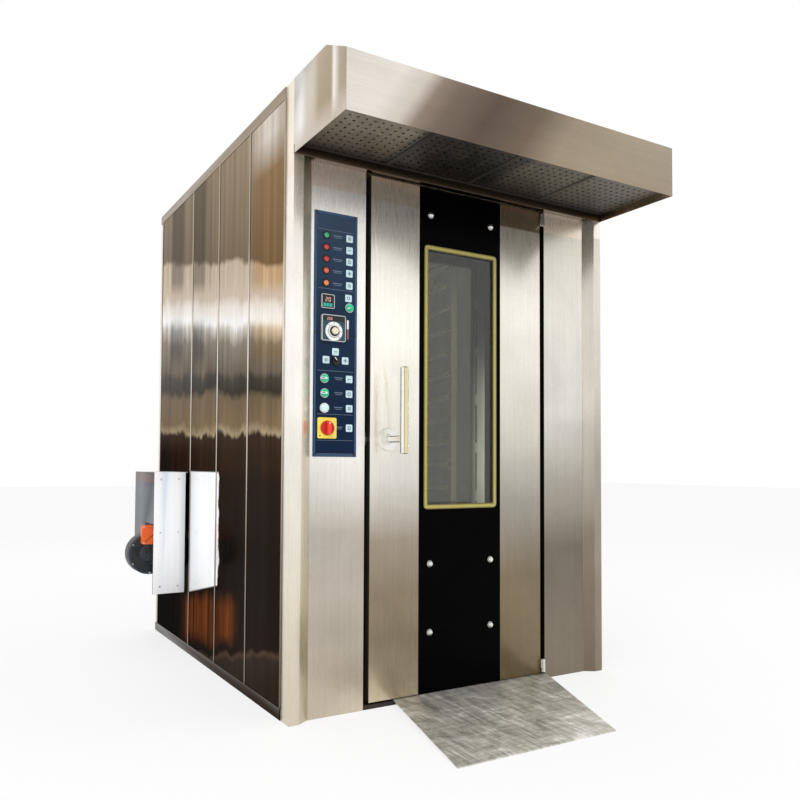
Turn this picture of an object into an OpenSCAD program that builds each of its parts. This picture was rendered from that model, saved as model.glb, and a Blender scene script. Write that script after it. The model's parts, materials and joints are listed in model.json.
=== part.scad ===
// Rotating rack oven with a front steam hood, a side burner and a hinged window door.
// Millimetres. +Z is up, the door faces -Y, and the origin is on the floor under the middle of the body.

/* [Body] */
// Width of each column beside the door
column_w = 224; // [210:1:260]
// Depth of the body from the front posts to the back
body_d = 1850; // [1840:10:2100]
// Height of the body
body_h = 2283; // [2280:5:2400]
// Thickness of the stainless sheets
sheet_t = 2; // [1.5:0.5:3]
// Thickness of the insulated walls
wall_t = 100; // [80:5:120]
// Height of the base slab
base_h = 16; // [12:1:17]
// Depth of the recess that the door and columns sit in
face_recess = 30; // [20:5:40]
// Width of a front post's flat face
post_w = 40; // [30:5:50]
// Width of the bevel beside a front post
facet_w = 45; // [35:5:55]
// Depth of a front post
post_d = 75; // [60:5:90]
// Width of a cover strip over a panel seam
strip_w = 12; // [8:2:20]
// Thickness of the cover strips
strip_t = 2; // [1:0.5:3]
// Height of the base trim
trim_h = 43; // [30:1:60]

/* [Door] */
// Width of the door leaf
door_w = 834; // [820:2:860]
// Height of the leaf's lower edge
door_bottom = 24; // [24:1:28]
// Gap between the leaf and the hood's rim
door_clear = 5; // [3:1:8]
// Thickness of the door leaf
door_t = 54; // [50:2:64]
// Gap between the leaf and each column
door_gap = 24; // [22:1:28]
// Thickness of the leaf's facing sheets
facing_t = 4; // [3:0.5:5]
// How far the inner plug stands behind the leaf
plug_t = 28; // [20:2:32]
// Margin between the leaf's edge and the plug
plug_margin = 46; // [40:2:52]
// Depth of the seal between leaf and frame
seal_t = 8; // [6:1:10]
// Width of the black centre strip
strip_glass_w = 400; // [390:5:430]
// Outer width of the window gasket
window_w = 358; // [320:2:370]
// Height of the window gasket's lower edge
window_bottom = 734.5; // [700:0.5:800]
// Distance from the leaf's upper edge down to the window gasket
window_drop = 228.5; // [200:0.5:300]
// Width of the window gasket
gasket_w = 20; // [16:1:24]
// Thickness of each window pane
pane_t = 6; // [5:1:8]
// Diameter of the round cover caps
cap_d = 27; // [20:1:34]
// Distance of the caps from the door's centre line
cap_x = 148; // [130:2:170]
// Distance of the hinge axis in front of the leaf
hinge_lead = 2; // [1:0.5:3]
// Radius of the hinge pins
pin_r = 6; // [5:0.5:7]

/* [Handle] */
// Distance of the handle from the leaf's free edge
handle_inset = 77; // [70:1:90]
// Height of the handle's turning axis
handle_z = 1004; // [950:2:1050]
// Distance of the bar's axis from the leaf
handle_reach = 118; // [100:2:130]
// Diameter of the bar
bar_d = 32; // [26:1:36]
// Length of the bar
bar_l = 321; // [280:1:360]
// Length of bar below the turning axis
bar_below = 56; // [40:1:70]
// Diameter of the rosette
rosette_d = 85; // [70:1:96]
// Travel of the latch tongue
latch_travel = 14; // [10:1:16]

/* [Hood] */
// How far the hood stands in front of the posts
hood_reach = 404; // [350:2:450]
// Height of the hood
hood_h = 271; // [265:1:300]
// Height of the hood's vertical front sheet
fascia_h = 199; // [180:1:220]
// Depth of the sloping top edge
slope_run = 144; // [100:2:180]
// Height of the perforated panels above the rim
filter_rise = 32; // [26:1:40]
// Number of perforated panels
filter_count = 4; // [3:1:5]
// Diameter of the perforations
hole_d = 11; // [8:0.5:14]
// Distance between perforations
hole_pitch = 32; // [28:1:40]

/* [Chamber] */
// How much narrower the baking chamber is than the door leaf
chamber_less = 14; // [10:2:20]
// How much deeper than wide the baking chamber is
chamber_extra = 108; // [100:2:130]
// Height of the leaf's upper edge above the chamber ceiling
lintel_h = 57; // [50:1:64]
// Thickness of the chamber floor
floor_t = 18; // [18:1:22]
// Width of an air slot
slot_w = 12; // [8:1:16]
// Height of an air slot
slot_h = 180; // [140:5:200]
// Height of the combustion chamber's axis
burner_z = 475; // [460:5:520]
// Distance of the burner's axis behind the partition
burner_setback = 325; // [320:5:340]
// Radius of the combustion chamber
firebox_r = 140; // [120:5:150]

/* [Turntable and rack] */
// Gap round the turntable disc
disc_gap = 15; // [10:1:25]
// Room beside the rack in the chamber, both sides together
rack_side_room = 390; // [380:2:420]
// Room before and behind the rack, from the chamber's width
rack_end_room = 200; // [196:2:240]
// Gap between the rack's top and the ceiling
rack_clear = 120; // [110:5:200]
// Number of shelf levels
levels = 16; // [10:1:18]
// Angle at which the rack stands at rest
rack_turn = -12; // [-30:1:30]
// Side of the rack's square tubes
tube_w = 25; // [20:1:28]
// Diameter of the caster wheels
wheel_d = 90; // [80:2:96]
// Width of the caster wheels
wheel_w = 28; // [22:1:32]
// Teeth on the driven sprocket
driven_teeth = 30; // [26:1:32]
// Teeth on the motor's sprocket
motor_teeth = 15; // [13:1:16]

/* [Control panel] */
// Width of the control panel
panel_w = 175; // [170:1:190]
// Height of the control panel
panel_h = 899; // [895:1:920]
// Distance from the hood's rim down to the panel
panel_drop = 177; // [150:1:200]
// Thickness of the control panel
panel_t = 3; // [2:0.5:4]
// Distance of the panel from its column's bevel
panel_inset = 12; // [6:1:20]
// Diameter of the round switches and lamps
switch_d = 29; // [26:1:30]
// Side of an icon tile
tile_w = 27; // [22:1:28]
// Side of the temperature controller
controller_w = 96; // [90:2:96]
// Side of the timer
timer_w = 52; // [46:1:54]
// Side of the isolator's plate
isolator_w = 76; // [70:2:80]
// Diameter of the isolator's knob
isolator_d = 54; // [46:2:60]

/* [Burner] */
// Depth of the burner cover from the side wall
cover_w = 163; // [150:1:180]
// Length of the burner cover along the wall
cover_l = 390; // [360:5:420]
// Height of the cover's lower edge
cover_bottom = 288; // [250:2:320]
// Height of the cover's upper edge
cover_top = 868; // [840:2:900]
// Radius of the burner's fan housing
drum_r = 98; // [90:1:104]
// Length of the burner's fan housing
drum_l = 86; // [80:2:100]
// Radius of the flame tube
flame_r = 60; // [50:1:64]

/* [Ramp] */
// Thickness of the ramp plate
ramp_t = 4; // [3:0.5:5]
// How far the ramp reaches in front of the posts
ramp_reach = 602; // [500:2:700]
// Width of the ramp's front edge
ramp_w = 662; // [600:2:700]

/* [Hidden] */
$fn = 48;

// Clearances: flat seats that touch, running gaps and shafts in their bores
seat = 0.3;
run_gap = 3;
bore_gap = 0.05;

// Body planes
body_w = door_w + 2 * (door_gap + column_w + facet_w + post_w);
half_w = body_w / 2;
front_y = -body_d / 2;
back_y = body_d / 2;
face_y = front_y + face_recess;
roof_z = body_h - sheet_t;
post_back = front_y + post_d;
rear_post = post_w - 1;
side_x = half_w - sheet_t;
column_outer = half_w - post_w - facet_w;
column_inner = door_w / 2 + door_gap;
side_seams = [0.2368, 0.4454, 0.6616] * body_d;
hood_bottom = body_h - hood_h;

// Door planes
door_top = hood_bottom - door_clear;
chamber_top = door_top - lintel_h;
window_top = door_top - window_drop;
leaf_back = face_y + door_t;
frame_y = leaf_back + seal_t;
wall_back = leaf_back + plug_t;
plug_half = door_w / 2 - plug_margin;
plug_bottom = door_bottom + 20;
plug_top = chamber_top - 5;
frame_half = plug_half + 8;
window_half = window_w / 2;
core_hole = window_half - 1;
hinge_x = column_inner - 12;
hinge_y = face_y - hinge_lead;
knuckle_r = pin_r + 5;
knuckle_h = 39;
eye_h = 14;
eye_margin = 6;
handle_x = -door_w / 2 + handle_inset;
cap_heights = [door_top - 107, window_bottom - 212.5, door_bottom + 232];
spindle_r = 8;
tongue_h = 20;
tongue_t = 12;
tongue_y = leaf_back - 25;

// Chamber planes
floor_z = base_h + floor_t;
liner_x = half_w - wall_t;
chamber_w = door_w - chamber_less;
chamber_d = chamber_w + chamber_extra;
duct_x = chamber_w / 2;
partition_y = wall_back + chamber_d;
liner_back = back_y - wall_t;
deck_z = chamber_top + wall_t;
axis_y = wall_back + chamber_d / 2 + 44;
burner_y = partition_y + burner_setback;
burner_edge = front_y + side_seams[2];
plate_bottom = burner_z - 130;
plate_top = burner_z + 130;
// Seams between the ceiling's wool boards
ceiling_seams = [-500, 100];

// Pipes and shafts that pass the chamber ceiling
steam_pipe_at = [0, wall_back + 95];
steam_pipe_r = 47;
flue_at = [liner_x - 200, burner_y + 40];
flue_r = 72;
fan_at = [0, burner_y];
fan_shaft_r = 15;
drive_r = 20;
water_at = [-(liner_x + duct_x) / 2, axis_y + 105];
water_r = 9;
thread_r = 10.5;
thread_l = 30;
collar_h = 50;
collar_t = 2.5;
damper_z = (deck_z + roof_z) / 2;
pipe_t = 2;

// Turntable and rack
disc_d = chamber_w - 2 * disc_gap;
rack_w = chamber_w - rack_side_room;
rack_d = chamber_w - rack_end_room;
pit_floor = base_h + 2;
disc_bottom = pit_floor + 4;
hub_r = 60;
pivot_r = 12;
wheel_z = floor_z + seat + wheel_d / 2;
rack_base = wheel_z + wheel_d / 2 + 21;
rack_frame_h = 40;
rail_z = rack_base + rack_frame_h + 12;
rack_top = chamber_top - rack_clear;
level_pitch = (rack_top - 30 - rail_z) / levels;
caster_x = rack_w / 2 - 50;
caster_y = rack_d / 2 - 55;
trail = 20;
fork_t = 4;

// Chain drive on the deck
chain_pitch = 12.7;
chain_z = deck_z + 32;
driven_r = chain_pitch / 2 / sin(180 / driven_teeth);
motor_r = chain_pitch / 2 / sin(180 / motor_teeth);
drive_span = 330;
tooth_h = 4;
link_gap = 0.6;
link_t = 9;
sprocket_t = 6;
gear_z = chain_z + 28;
spindle_grip = 50;

// Heat exchanger: two headers joined by upright tubes, over the combustion chamber
header_t = 60;
header_z = burner_z + firebox_r + 80;
header_top = chamber_top - 330;
header_half_d = 140;
header_half_w = liner_x - 110;
tube_r = 25;
fan_mouth_r = 110;
fan_mouth_x = 150;
fan_mouth_z = chamber_top - 250;
tube_count = 8;
tube_step = (2 * header_half_w - 170) / (tube_count - 1);
riser_r = 60;
riser_x = 300;
firebox_x0 = -liner_x + 70;
firebox_x1 = liner_x - 130;

// Hood planes
hood_front = front_y - hood_reach;
fascia_top = hood_bottom + fascia_h;
filter_z = hood_bottom + filter_rise;
hood_mid = (hood_front + slope_run + front_y) / 2;
hood_fan_r = 90;
hood_motor_z = filter_z + 110;
hood_collar_x = 300;

// Control panel places, from the panel's lower left corner; heights are shares of the panel's
panel_x = -column_outer + panel_inset;
panel_z = hood_bottom - panel_drop - panel_h;
panel_back = face_y;
panel_face = face_y - panel_t;
lamp_x = 46;
tile_x = 142;
lamp_zs = [0.902, 0.853, 0.805, 0.757, 0.706] * panel_h;
timer_at = [53, 0.631 * panel_h];
controller_at = [75, 0.523 * panel_h];
dial_drop = 12;
mode_at = [88, 0.389 * panel_h];
timer_sel_at = [143, 0.614 * panel_h];
fan_sel_at = [43, 0.317 * panel_h];
steam_sel_at = [44, 0.257 * panel_h];
start_at = [43, 0.197 * panel_h];
isolator_at = [54, 0.116 * panel_h];
label_places = [[139, 0.654], [87, 0.428], [49, 0.393], [127, 0.394], [144, 0.319], [144, 0.258],
    [145, 0.198], [145, 0.118]];
tile_places = concat([for (z = lamp_zs) [tile_x, z]], [for (p = label_places) [p[0], p[1] * panel_h]]);
knob_r = switch_d / 2;
switch_hole_r = 11;
spindle_knob_r = 4;
box_rim = 8;
box_d = 62;

// Burner places
cover_x = -half_w - cover_w;
cover_y = burner_y - 105;
cover_notch = 535;
drum_x = cover_x;

// Block between two corners
module block(lo, hi) {
    translate(lo)
        cube(hi - lo);
}

// Both sides of the centre plane
module both_sides() {
    children();
    mirror([1, 0, 0])
        children();
}

// Round bar along +Z
module post(r, z0, z1, at = [0, 0]) {
    translate([at[0], at[1], z0])
        cylinder(r = r, h = z1 - z0);
}

// Round bar along Y, from y0 back to y1
module rod_y(r, x, z, y0, y1) {
    translate([x, y1, z])
        rotate([90, 0, 0])
            cylinder(r = r, h = y1 - y0);
}

// Round bar along X
module rod_x(r, y, z, x0, x1) {
    translate([x0, y, z])
        rotate([0, 90, 0])
            cylinder(r = r, h = x1 - x0);
}

// Extrudes an outline drawn in Y and Z along X
module along_x(x0, x1) {
    translate([x0, 0, 0])
        rotate([90, 0, 90])
            linear_extrude(height = x1 - x0)
                children();
}

// Extrudes an outline drawn in X and Z back along Y
module along_y(y0, y1) {
    translate([0, y1, 0])
        rotate([90, 0, 0])
            linear_extrude(height = y1 - y0)
                children();
}

// Rectangle with round corners
module round_rect(x0, z0, x1, z1, r) {
    translate([x0 + r, z0])
        square([x1 - x0 - 2 * r, z1 - z0]);
    translate([x0, z0 + r])
        square([x1 - x0, z1 - z0 - 2 * r]);
    for (x = [x0 + r, x1 - r], z = [z0 + r, z1 - r])
        translate([x, z])
            circle(r);
}

// Everything that passes the ceiling, as cutters
module ceiling_holes(z0, z1) {
    post(steam_pipe_r, z0, z1, steam_pipe_at);
    post(flue_r, z0, z1, flue_at);
    post(fan_shaft_r + run_gap, z0, z1, fan_at);
    post(drive_r + run_gap, z0, z1, [0, axis_y]);
    post(water_r, z0, z1, water_at);
}

// Place on the control panel, at the panel's face
module on_panel(at) {
    translate([panel_x + at[0], panel_face, panel_z + at[1]])
        rotate([90, 0, 0])
            children();
}

// The rack's own frame, turned on the turntable
module on_turntable() {
    translate([0, axis_y, 0])
        rotate([0, 0, rack_turn])
            children();
}

// ---- Casing ----

module base_frame() {
    color("dimgray")
        difference() {
            linear_extrude(height = base_h)
                polygon([[-column_outer, face_y + sheet_t], [column_outer, face_y + sheet_t],
                    [column_outer, post_back], [side_x, post_back], [side_x, back_y - rear_post],
                    [half_w - post_w, back_y - rear_post], [half_w - post_w, back_y - sheet_t],
                    [-half_w + post_w, back_y - sheet_t], [-half_w + post_w, back_y - rear_post],
                    [-side_x, back_y - rear_post], [-side_x, post_back], [-column_outer, post_back]]);
            post(pivot_r + bore_gap, 2, base_h + 1, [0, axis_y]);
        }
}

module corner_posts() {
    color("silver")
        both_sides() {
            linear_extrude(height = roof_z)
                polygon([[-half_w, front_y], [-half_w + post_w, front_y], [-column_outer, face_y],
                    [-column_outer, post_back], [-half_w, post_back]]);
            block([-half_w, back_y - rear_post, 0], [-half_w + post_w, back_y, roof_z]);
        }
}

// Plate that carries the flame tube through a wall's sheet or wool
module burner_plate(x0, x1, y1) {
    difference() {
        block([x0, burner_edge + seat, plate_bottom], [x1, y1, plate_top]);
        rod_x(flame_r + run_gap, burner_y, burner_z, x0 - 1, x1 + 1);
    }
}

// The same sheet or wool below and above that plate
module round_burner_plate(x0, x1, y1, z0, z1) {
    block([x0, burner_edge + seat, z0], [x1, y1, plate_bottom - seat]);
    block([x0, burner_edge + seat, plate_top + seat], [x1, y1, z1]);
}

module casing_panels() {
    side_edges = concat([post_back], [for (s = side_seams) front_y + s], [back_y - rear_post]);
    back_edges = [for (i = [0 : 3]) (half_w - post_w) * (2 * i / 3 - 1)];
    color("silver") {
        both_sides()
            for (i = [0 : 2])
                block([-half_w, side_edges[i] + (i > 0 ? seat : 0), 0],
                    [-side_x, side_edges[i + 1], body_h]);
        block([side_x, burner_edge + seat, 0], [half_w, side_edges[4], body_h]);
        burner_plate(-half_w, -side_x, side_edges[4]);
        round_burner_plate(-half_w, -side_x, side_edges[4], 0, body_h);
        for (i = [0 : 2])
            block([back_edges[i] + (i > 0 ? seat : 0), back_y - sheet_t, 0],
                [back_edges[i + 1], back_y, roof_z - seat]);
        difference() {
            block([-side_x + seat, front_y + seat, roof_z], [side_x - seat, back_y, body_h]);
            post(steam_pipe_r, roof_z - 1, body_h + 1, steam_pipe_at);
            post(flue_r, roof_z - 1, body_h + 1, flue_at);
            post(water_r, roof_z - 1, body_h + 1, water_at);
        }
        difference() {
            block([-side_x + seat, wall_back, deck_z - sheet_t],
                [side_x - seat, back_y - rear_post, deck_z]);
            ceiling_holes(deck_z - sheet_t - 1, deck_z + 1);
        }
    }
}

module trim_strips() {
    strip_ys = concat([post_back], [for (s = side_seams) front_y + s], [back_y - rear_post]);
    half = strip_w / 2;
    out_x = half_w + strip_t;
    foot = 2;
    color("gainsboro") {
        both_sides() {
            for (y = strip_ys)
                block([-out_x, y - half, trim_h], [-half_w, y + half, body_h - trim_h]);
            block([-out_x, post_back, foot], [-half_w, back_y, trim_h]);
            block([-out_x, post_back, body_h - trim_h], [-half_w, back_y, body_h]);
        }
        for (x = [-1, 1] * (half_w - post_w) / 3)
            block([x - half, back_y, trim_h], [x + half, back_y + strip_t, body_h]);
        block([-out_x, back_y, foot], [out_x, back_y + strip_t, trim_h]);
    }
}

module insulation() {
    slab_top = deck_z - sheet_t;
    side_in = -liner_x - sheet_t;
    side_end = liner_back + sheet_t;
    wool_x = column_inner + sheet_t;
    wool_end = column_outer - 14;
    wool_y = face_y + sheet_t;
    wool_back = wall_back - sheet_t;
    box_back = wool_y + box_d + 1;
    boards = [wall_back, ceiling_seams[0], ceiling_seams[1], side_end];
    color("khaki") {
        // Side boards, with the block round the flame tube
        block([-side_x, box_back, base_h], [side_in, burner_edge, slab_top]);
        burner_plate(-side_x, side_in, side_end);
        round_burner_plate(-side_x, side_in, side_end, base_h, slab_top);
        block([-side_in, post_back, base_h], [side_x, side_end, slab_top]);
        block([-half_w + post_w, side_end + seat, base_h], [half_w - post_w, back_y - sheet_t, slab_top]);
        // Ceiling boards
        difference() {
            for (i = [0 : 2])
                block([side_in + seat, boards[i] + (i > 0 ? seat : 0), chamber_top + sheet_t],
                    [-side_in - seat, boards[i + 1], slab_top]);
            ceiling_holes(chamber_top, slab_top + 1);
        }
        // Boards in the columns, the left one round the control box
        block([wool_x, wool_y, base_h], [wool_end, wool_back, hood_bottom]);
        block([-wool_end, wool_y, base_h], [-wool_x, wool_back, panel_z - 1]);
        block([-wool_end, wool_y, panel_z + panel_h + 1], [-wool_x, wool_back, hood_bottom]);
        block([-wool_end, box_back, panel_z - 1 + seat],
            [-wool_x, wool_back, panel_z + panel_h + 1 - seat]);
        block([panel_x + panel_w + 1, wool_y, panel_z - 1 + seat],
            [-wool_x, box_back - seat, panel_z + panel_h + 1 - seat]);
    }
}

module front_panels() {
    color("silver") {
        difference() {
            both_sides()
                block([-column_outer, face_y, 0], [-column_inner, face_y + sheet_t, hood_bottom]);
            block([panel_x + box_rim, face_y - 1, panel_z + box_rim],
                [panel_x + panel_w - box_rim, face_y + sheet_t + 1, panel_z + panel_h - box_rim]);
        }
        block([-column_outer, face_y, hood_bottom], [column_outer, face_y + sheet_t, roof_z]);
    }
}

module door_frame() {
    color("dimgray") {
        both_sides() {
            block([-column_inner, frame_y, base_h], [-frame_half, wall_back - sheet_t, hood_bottom]);
            block([-column_inner - sheet_t, face_y + sheet_t, base_h],
                [-column_inner, wall_back - sheet_t, hood_bottom]);
        }
        block([-frame_half, frame_y, plug_top + 8], [frame_half, wall_back - sheet_t, hood_bottom]);
        for (z = [handle_z - tongue_h / 2 - 14, handle_z + tongue_h / 2 + 1])
            block([-column_inner, tongue_y - 12, z], [-column_inner + 14, tongue_y + 12, z + 13]);
    }
}

module chamber_floor() {
    color("gray")
        difference() {
            union() {
                block([-duct_x - sheet_t, wall_back, base_h], [duct_x + sheet_t, partition_y, floor_z]);
                along_x(-frame_half, frame_half)
                    polygon([[leaf_back + 2, base_h], [wall_back, floor_z], [wall_back, base_h]]);
            }
            post(disc_d / 2 + run_gap, pit_floor, floor_z + 1, [0, axis_y]);
            post(pivot_r + bore_gap, base_h - 1, pit_floor + 1, [0, axis_y]);
        }
}

// Upright sheet across the chamber's side, with rows of air slots
module slotted_wall(length, height) {
    columns = floor((length - 60) / 90);
    rows = floor((height - 60) / (slot_h + 50));
    difference() {
        square([length, height]);
        for (i = [0 : columns - 1], j = [0 : rows - 1])
            translate([(length - 90 * (columns - 1)) / 2 + 90 * i - slot_w / 2,
                (height - (slot_h + 50) * rows + 50) / 2 + (slot_h + 50) * j])
                square([slot_w, slot_h]);
    }
}

module chamber_liner() {
    wall_h = chamber_top - floor_z;
    inner_x = liner_x - seat;
    outer_x = liner_x + sheet_t;
    front = wall_back - sheet_t;
    liner_end = liner_back + sheet_t;
    color("darkgray") {
        block([-outer_x, front, base_h], [-liner_x, burner_edge, chamber_top + sheet_t]);
        round_burner_plate(-outer_x, -liner_x, liner_end, base_h, chamber_top + sheet_t);
        block([liner_x, front, base_h], [outer_x, liner_end, chamber_top + sheet_t]);
        block([-inner_x, liner_back, base_h], [inner_x, liner_end, chamber_top - seat]);
        difference() {
            block([-inner_x, front, chamber_top], [inner_x, liner_end, chamber_top + sheet_t]);
            ceiling_holes(chamber_top - 1, chamber_top + sheet_t + 1);
        }
        both_sides() {
            block([-inner_x, front, base_h], [-frame_half, wall_back, chamber_top - seat]);
            along_x(-duct_x - sheet_t, -duct_x)
                translate([wall_back + seat, floor_z])
                    slotted_wall(partition_y - wall_back - 2 * seat, wall_h - seat);
            block([-inner_x, wall_back + seat, base_h],
                [-duct_x - sheet_t - seat, liner_back - seat, base_h + sheet_t]);
        }
        block([-duct_x - sheet_t, partition_y + sheet_t + seat, base_h],
            [duct_x + sheet_t, liner_back - seat, base_h + sheet_t]);
    }
}

// Sheets with mouths round the heater: the partition in two sheets, and the flame tube's plate
module heater_walls() {
    mouth_sheet = fan_mouth_z - fan_mouth_r - 60;
    color("darkgray") {
        block([-duct_x - sheet_t, partition_y, base_h],
            [duct_x + sheet_t, partition_y + sheet_t, mouth_sheet - seat]);
        along_y(partition_y, partition_y + sheet_t)
            difference() {
                translate([-duct_x - sheet_t, mouth_sheet])
                    square([chamber_w + 2 * sheet_t, chamber_top - seat - mouth_sheet]);
                for (x = [-1, 1] * fan_mouth_x)
                    translate([x, fan_mouth_z])
                        circle(r = fan_mouth_r);
            }
        burner_plate(-liner_x - sheet_t, -liner_x, liner_back + sheet_t);
    }
}

module interior_lamp() {
    color("lightyellow")
        along_x(240, 360)
            translate([wall_back + 35, chamber_top])
                polygon([[0, 0], [0, -20], [20, -40], [70, -40], [70, 0]]);
}

// ---- Hood and vents ----

module hood_shell() {
    y_slope = hood_front + slope_run;
    inner_x = side_x - seat;
    color("silver") {
        block([-inner_x, hood_front, hood_bottom], [inner_x, hood_front + sheet_t, fascia_top]);
        along_x(-inner_x, inner_x)
            polygon([[hood_front, fascia_top], [hood_front + sheet_t, fascia_top],
                [y_slope, roof_z], [y_slope, body_h]]);
        difference() {
            block([-inner_x, y_slope, roof_z], [inner_x, front_y, body_h]);
            post(flue_r, roof_z - 1, body_h + 1, [hood_collar_x, hood_mid]);
        }
        both_sides()
            along_x(-half_w, -side_x)
                polygon([[front_y, hood_bottom], [hood_front, hood_bottom], [hood_front, fascia_top],
                    [y_slope, body_h], [front_y, body_h]]);
        block([-inner_x, front_y - sheet_t, hood_bottom], [inner_x, front_y, filter_z]);
        block([-column_outer, front_y, hood_bottom], [column_outer, face_y, hood_bottom + sheet_t]);
    }
}

module hood_filters() {
    margin = 20;
    y0 = hood_front + sheet_t;
    y1 = front_y;
    pitch_x = 2 * side_x / filter_count;
    holes_x = floor((pitch_x - 2 * margin) / hole_pitch);
    holes_y = floor((y1 - y0 - 2 * margin) / hole_pitch);
    color("gray")
        for (i = [0 : filter_count - 1])
            translate([-side_x + i * pitch_x, 0, filter_z])
                linear_extrude(height = sheet_t)
                    difference() {
                        translate([0, y0])
                            square([pitch_x - 1, y1 - y0]);
                        for (a = [0 : holes_x], b = [0 : holes_y])
                            translate([pitch_x / 2 + (a - holes_x / 2) * hole_pitch,
                                (y0 + y1) / 2 + (b - holes_y / 2) * hole_pitch])
                                circle(d = hole_d);
                    }
}

// Thin pipe along +Z
module pipe(r, z0, z1, at) {
    difference() {
        post(r, z0, z1, at);
        post(r - pipe_t, z0 - 1, z1 + 1, at);
    }
}

// Collar on the roof that a duct slides over
module collar(r, at) {
    difference() {
        post(r + collar_t, body_h, body_h + collar_h, at);
        post(r - pipe_t, body_h - 1, body_h + collar_h + 1, at);
    }
}

module vent_pipes() {
    color("silver") {
        difference() {
            pipe(steam_pipe_r, chamber_top, body_h, steam_pipe_at);
            rod_x(spindle_knob_r + bore_gap, steam_pipe_at[1], damper_z, -steam_pipe_r - 5, steam_pipe_r + 5);
        }
        pipe(flue_r, header_top, body_h, flue_at);
        pipe(flue_r, roof_z - 20, body_h, [hood_collar_x, hood_mid]);
        collar(steam_pipe_r, steam_pipe_at);
        collar(flue_r, flue_at);
        collar(flue_r, [hood_collar_x, hood_mid]);
    }
}

module steam_damper() {
    flap_r = steam_pipe_r - pipe_t - 1;
    arm_x = steam_pipe_r + 8;
    color("gray") {
        post(flap_r, damper_z - 1, damper_z + 1, steam_pipe_at);
        rod_x(spindle_knob_r, steam_pipe_at[1], damper_z, -flap_r + 4, arm_x + 8);
        translate([arm_x, steam_pipe_at[1] - 6, damper_z - 6])
            cube([5, 60, 12]);
    }
}

// ---- Heating ----

// Drum of two half shells between two end plates, on two feet
module combustion_chamber() {
    shell_t = 5;
    color("saddlebrown") {
        difference() {
            rod_x(firebox_r, burner_y, burner_z, firebox_x0, firebox_x0 + shell_t);
            rod_x(flame_r + seat, burner_y, burner_z, firebox_x0 - 1, firebox_x0 + shell_t + 1);
        }
        rod_x(firebox_r, burner_y, burner_z, firebox_x1 - shell_t, firebox_x1);
        difference() {
            rod_x(firebox_r, burner_y, burner_z, firebox_x0 + shell_t + seat, firebox_x1 - shell_t - seat);
            rod_x(firebox_r - shell_t, burner_y, burner_z, firebox_x0, firebox_x1);
            block([firebox_x0, burner_y - firebox_r, burner_z - seat / 2],
                [firebox_x1, burner_y + firebox_r, burner_z + seat / 2]);
            post(riser_r, burner_z, burner_z + firebox_r + 1, [riser_x, burner_y]);
        }
        for (x = [firebox_x0 + 100, firebox_x1 - 140])
            block([x, burner_y - 100, base_h + sheet_t], [x + 40, burner_y + 100, burner_z - firebox_r - seat]);
    }
}

module heat_exchanger() {
    color("sienna") {
        block([-header_half_w, burner_y - header_half_d, header_z],
            [header_half_w, burner_y + header_half_d, header_z + header_t]);
        block([-header_half_w, burner_y - header_half_d, header_top - header_t],
            [header_half_w, burner_y + header_half_d, header_top]);
        for (i = [0 : tube_count - 1], y = [burner_y - 80, burner_y + 80])
            post(tube_r, header_z + header_t, header_top - header_t, [85 - header_half_w + tube_step * i, y]);
        pipe(riser_r, burner_z + firebox_r - 20, header_z, [riser_x, burner_y]);
    }
}

module motors() {
    color("darkslategray") {
        // Gearmotor of the turntable, on four legs
        translate([drive_span, axis_y, 0]) {
            difference() {
                block([-70, -70, gear_z], [70, 70, gear_z + 8]);
                post(spindle_r + 2, gear_z - 1, gear_z + 9);
            }
            for (x = [-70, 58], y = [-70, 58])
                block([x, y, deck_z], [x + 12, y + 12, gear_z]);
            difference() {
                post(60, gear_z + 8, roof_z - 20);
                post(spindle_r + bore_gap, gear_z, gear_z + spindle_grip + 1);
            }
        }
        // Upper bearing of the drive shaft
        difference() {
            post(45, deck_z, deck_z + 16, [0, axis_y]);
            post(drive_r + bore_gap, deck_z - 1, deck_z + 17, [0, axis_y]);
        }
        // Motor of the circulation fan
        difference() {
            post(95, deck_z, roof_z - 20, fan_at);
            post(fan_shaft_r + bore_gap, deck_z - 1, deck_z + 60, fan_at);
        }
        // Motor of the hood fan, hung from the hood's top
        difference() {
            post(50, hood_motor_z, roof_z, [0, hood_mid]);
            post(spindle_r + bore_gap, hood_motor_z - 1, hood_motor_z + 30, [0, hood_mid]);
        }
    }
}

// Outline of a belt round two pulleys, the larger at the origin
function belt_outline(r1, r2, span, steps = 20) =
    let (lean = asin((r1 - r2) / span), a0 = 90 - lean)
    concat([for (i = [0 : steps]) let (a = a0 + (360 - 2 * a0) * i / steps) [r1 * cos(a), r1 * sin(a)]],
        [for (i = [0 : steps]) let (a = -a0 + 2 * a0 * i / steps) [span + r2 * cos(a), r2 * sin(a)]]);

module drive_chain() {
    inner_r = tooth_h + link_gap;
    outer_r = inner_r + link_t;
    color("black")
        translate([0, axis_y, chain_z])
            linear_extrude(height = 8)
                difference() {
                    polygon(belt_outline(driven_r + outer_r, motor_r + outer_r, drive_span));
                    polygon(belt_outline(driven_r + inner_r, motor_r + inner_r, drive_span));
                }
}

// Toothed wheel with its pitch circle at r
module sprocket(teeth, r, h) {
    linear_extrude(height = h) {
        circle(r - tooth_h);
        for (i = [0 : teeth - 1])
            rotate(360 * i / teeth)
                polygon([[0, -4], [r + tooth_h - 3, -2.2], [r + tooth_h, -0.8], [r + tooth_h, 0.8],
                    [r + tooth_h - 3, 2.2], [0, 4]]);
    }
}

module motor_sprocket() {
    color("gray")
        translate([drive_span, axis_y, 0]) {
            post(spindle_r, chain_z - 8, gear_z + spindle_grip);
            translate([0, 0, chain_z + 1])
                sprocket(motor_teeth, motor_r, sprocket_t);
            post(24, chain_z - 12, chain_z + 1);
        }
}

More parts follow.
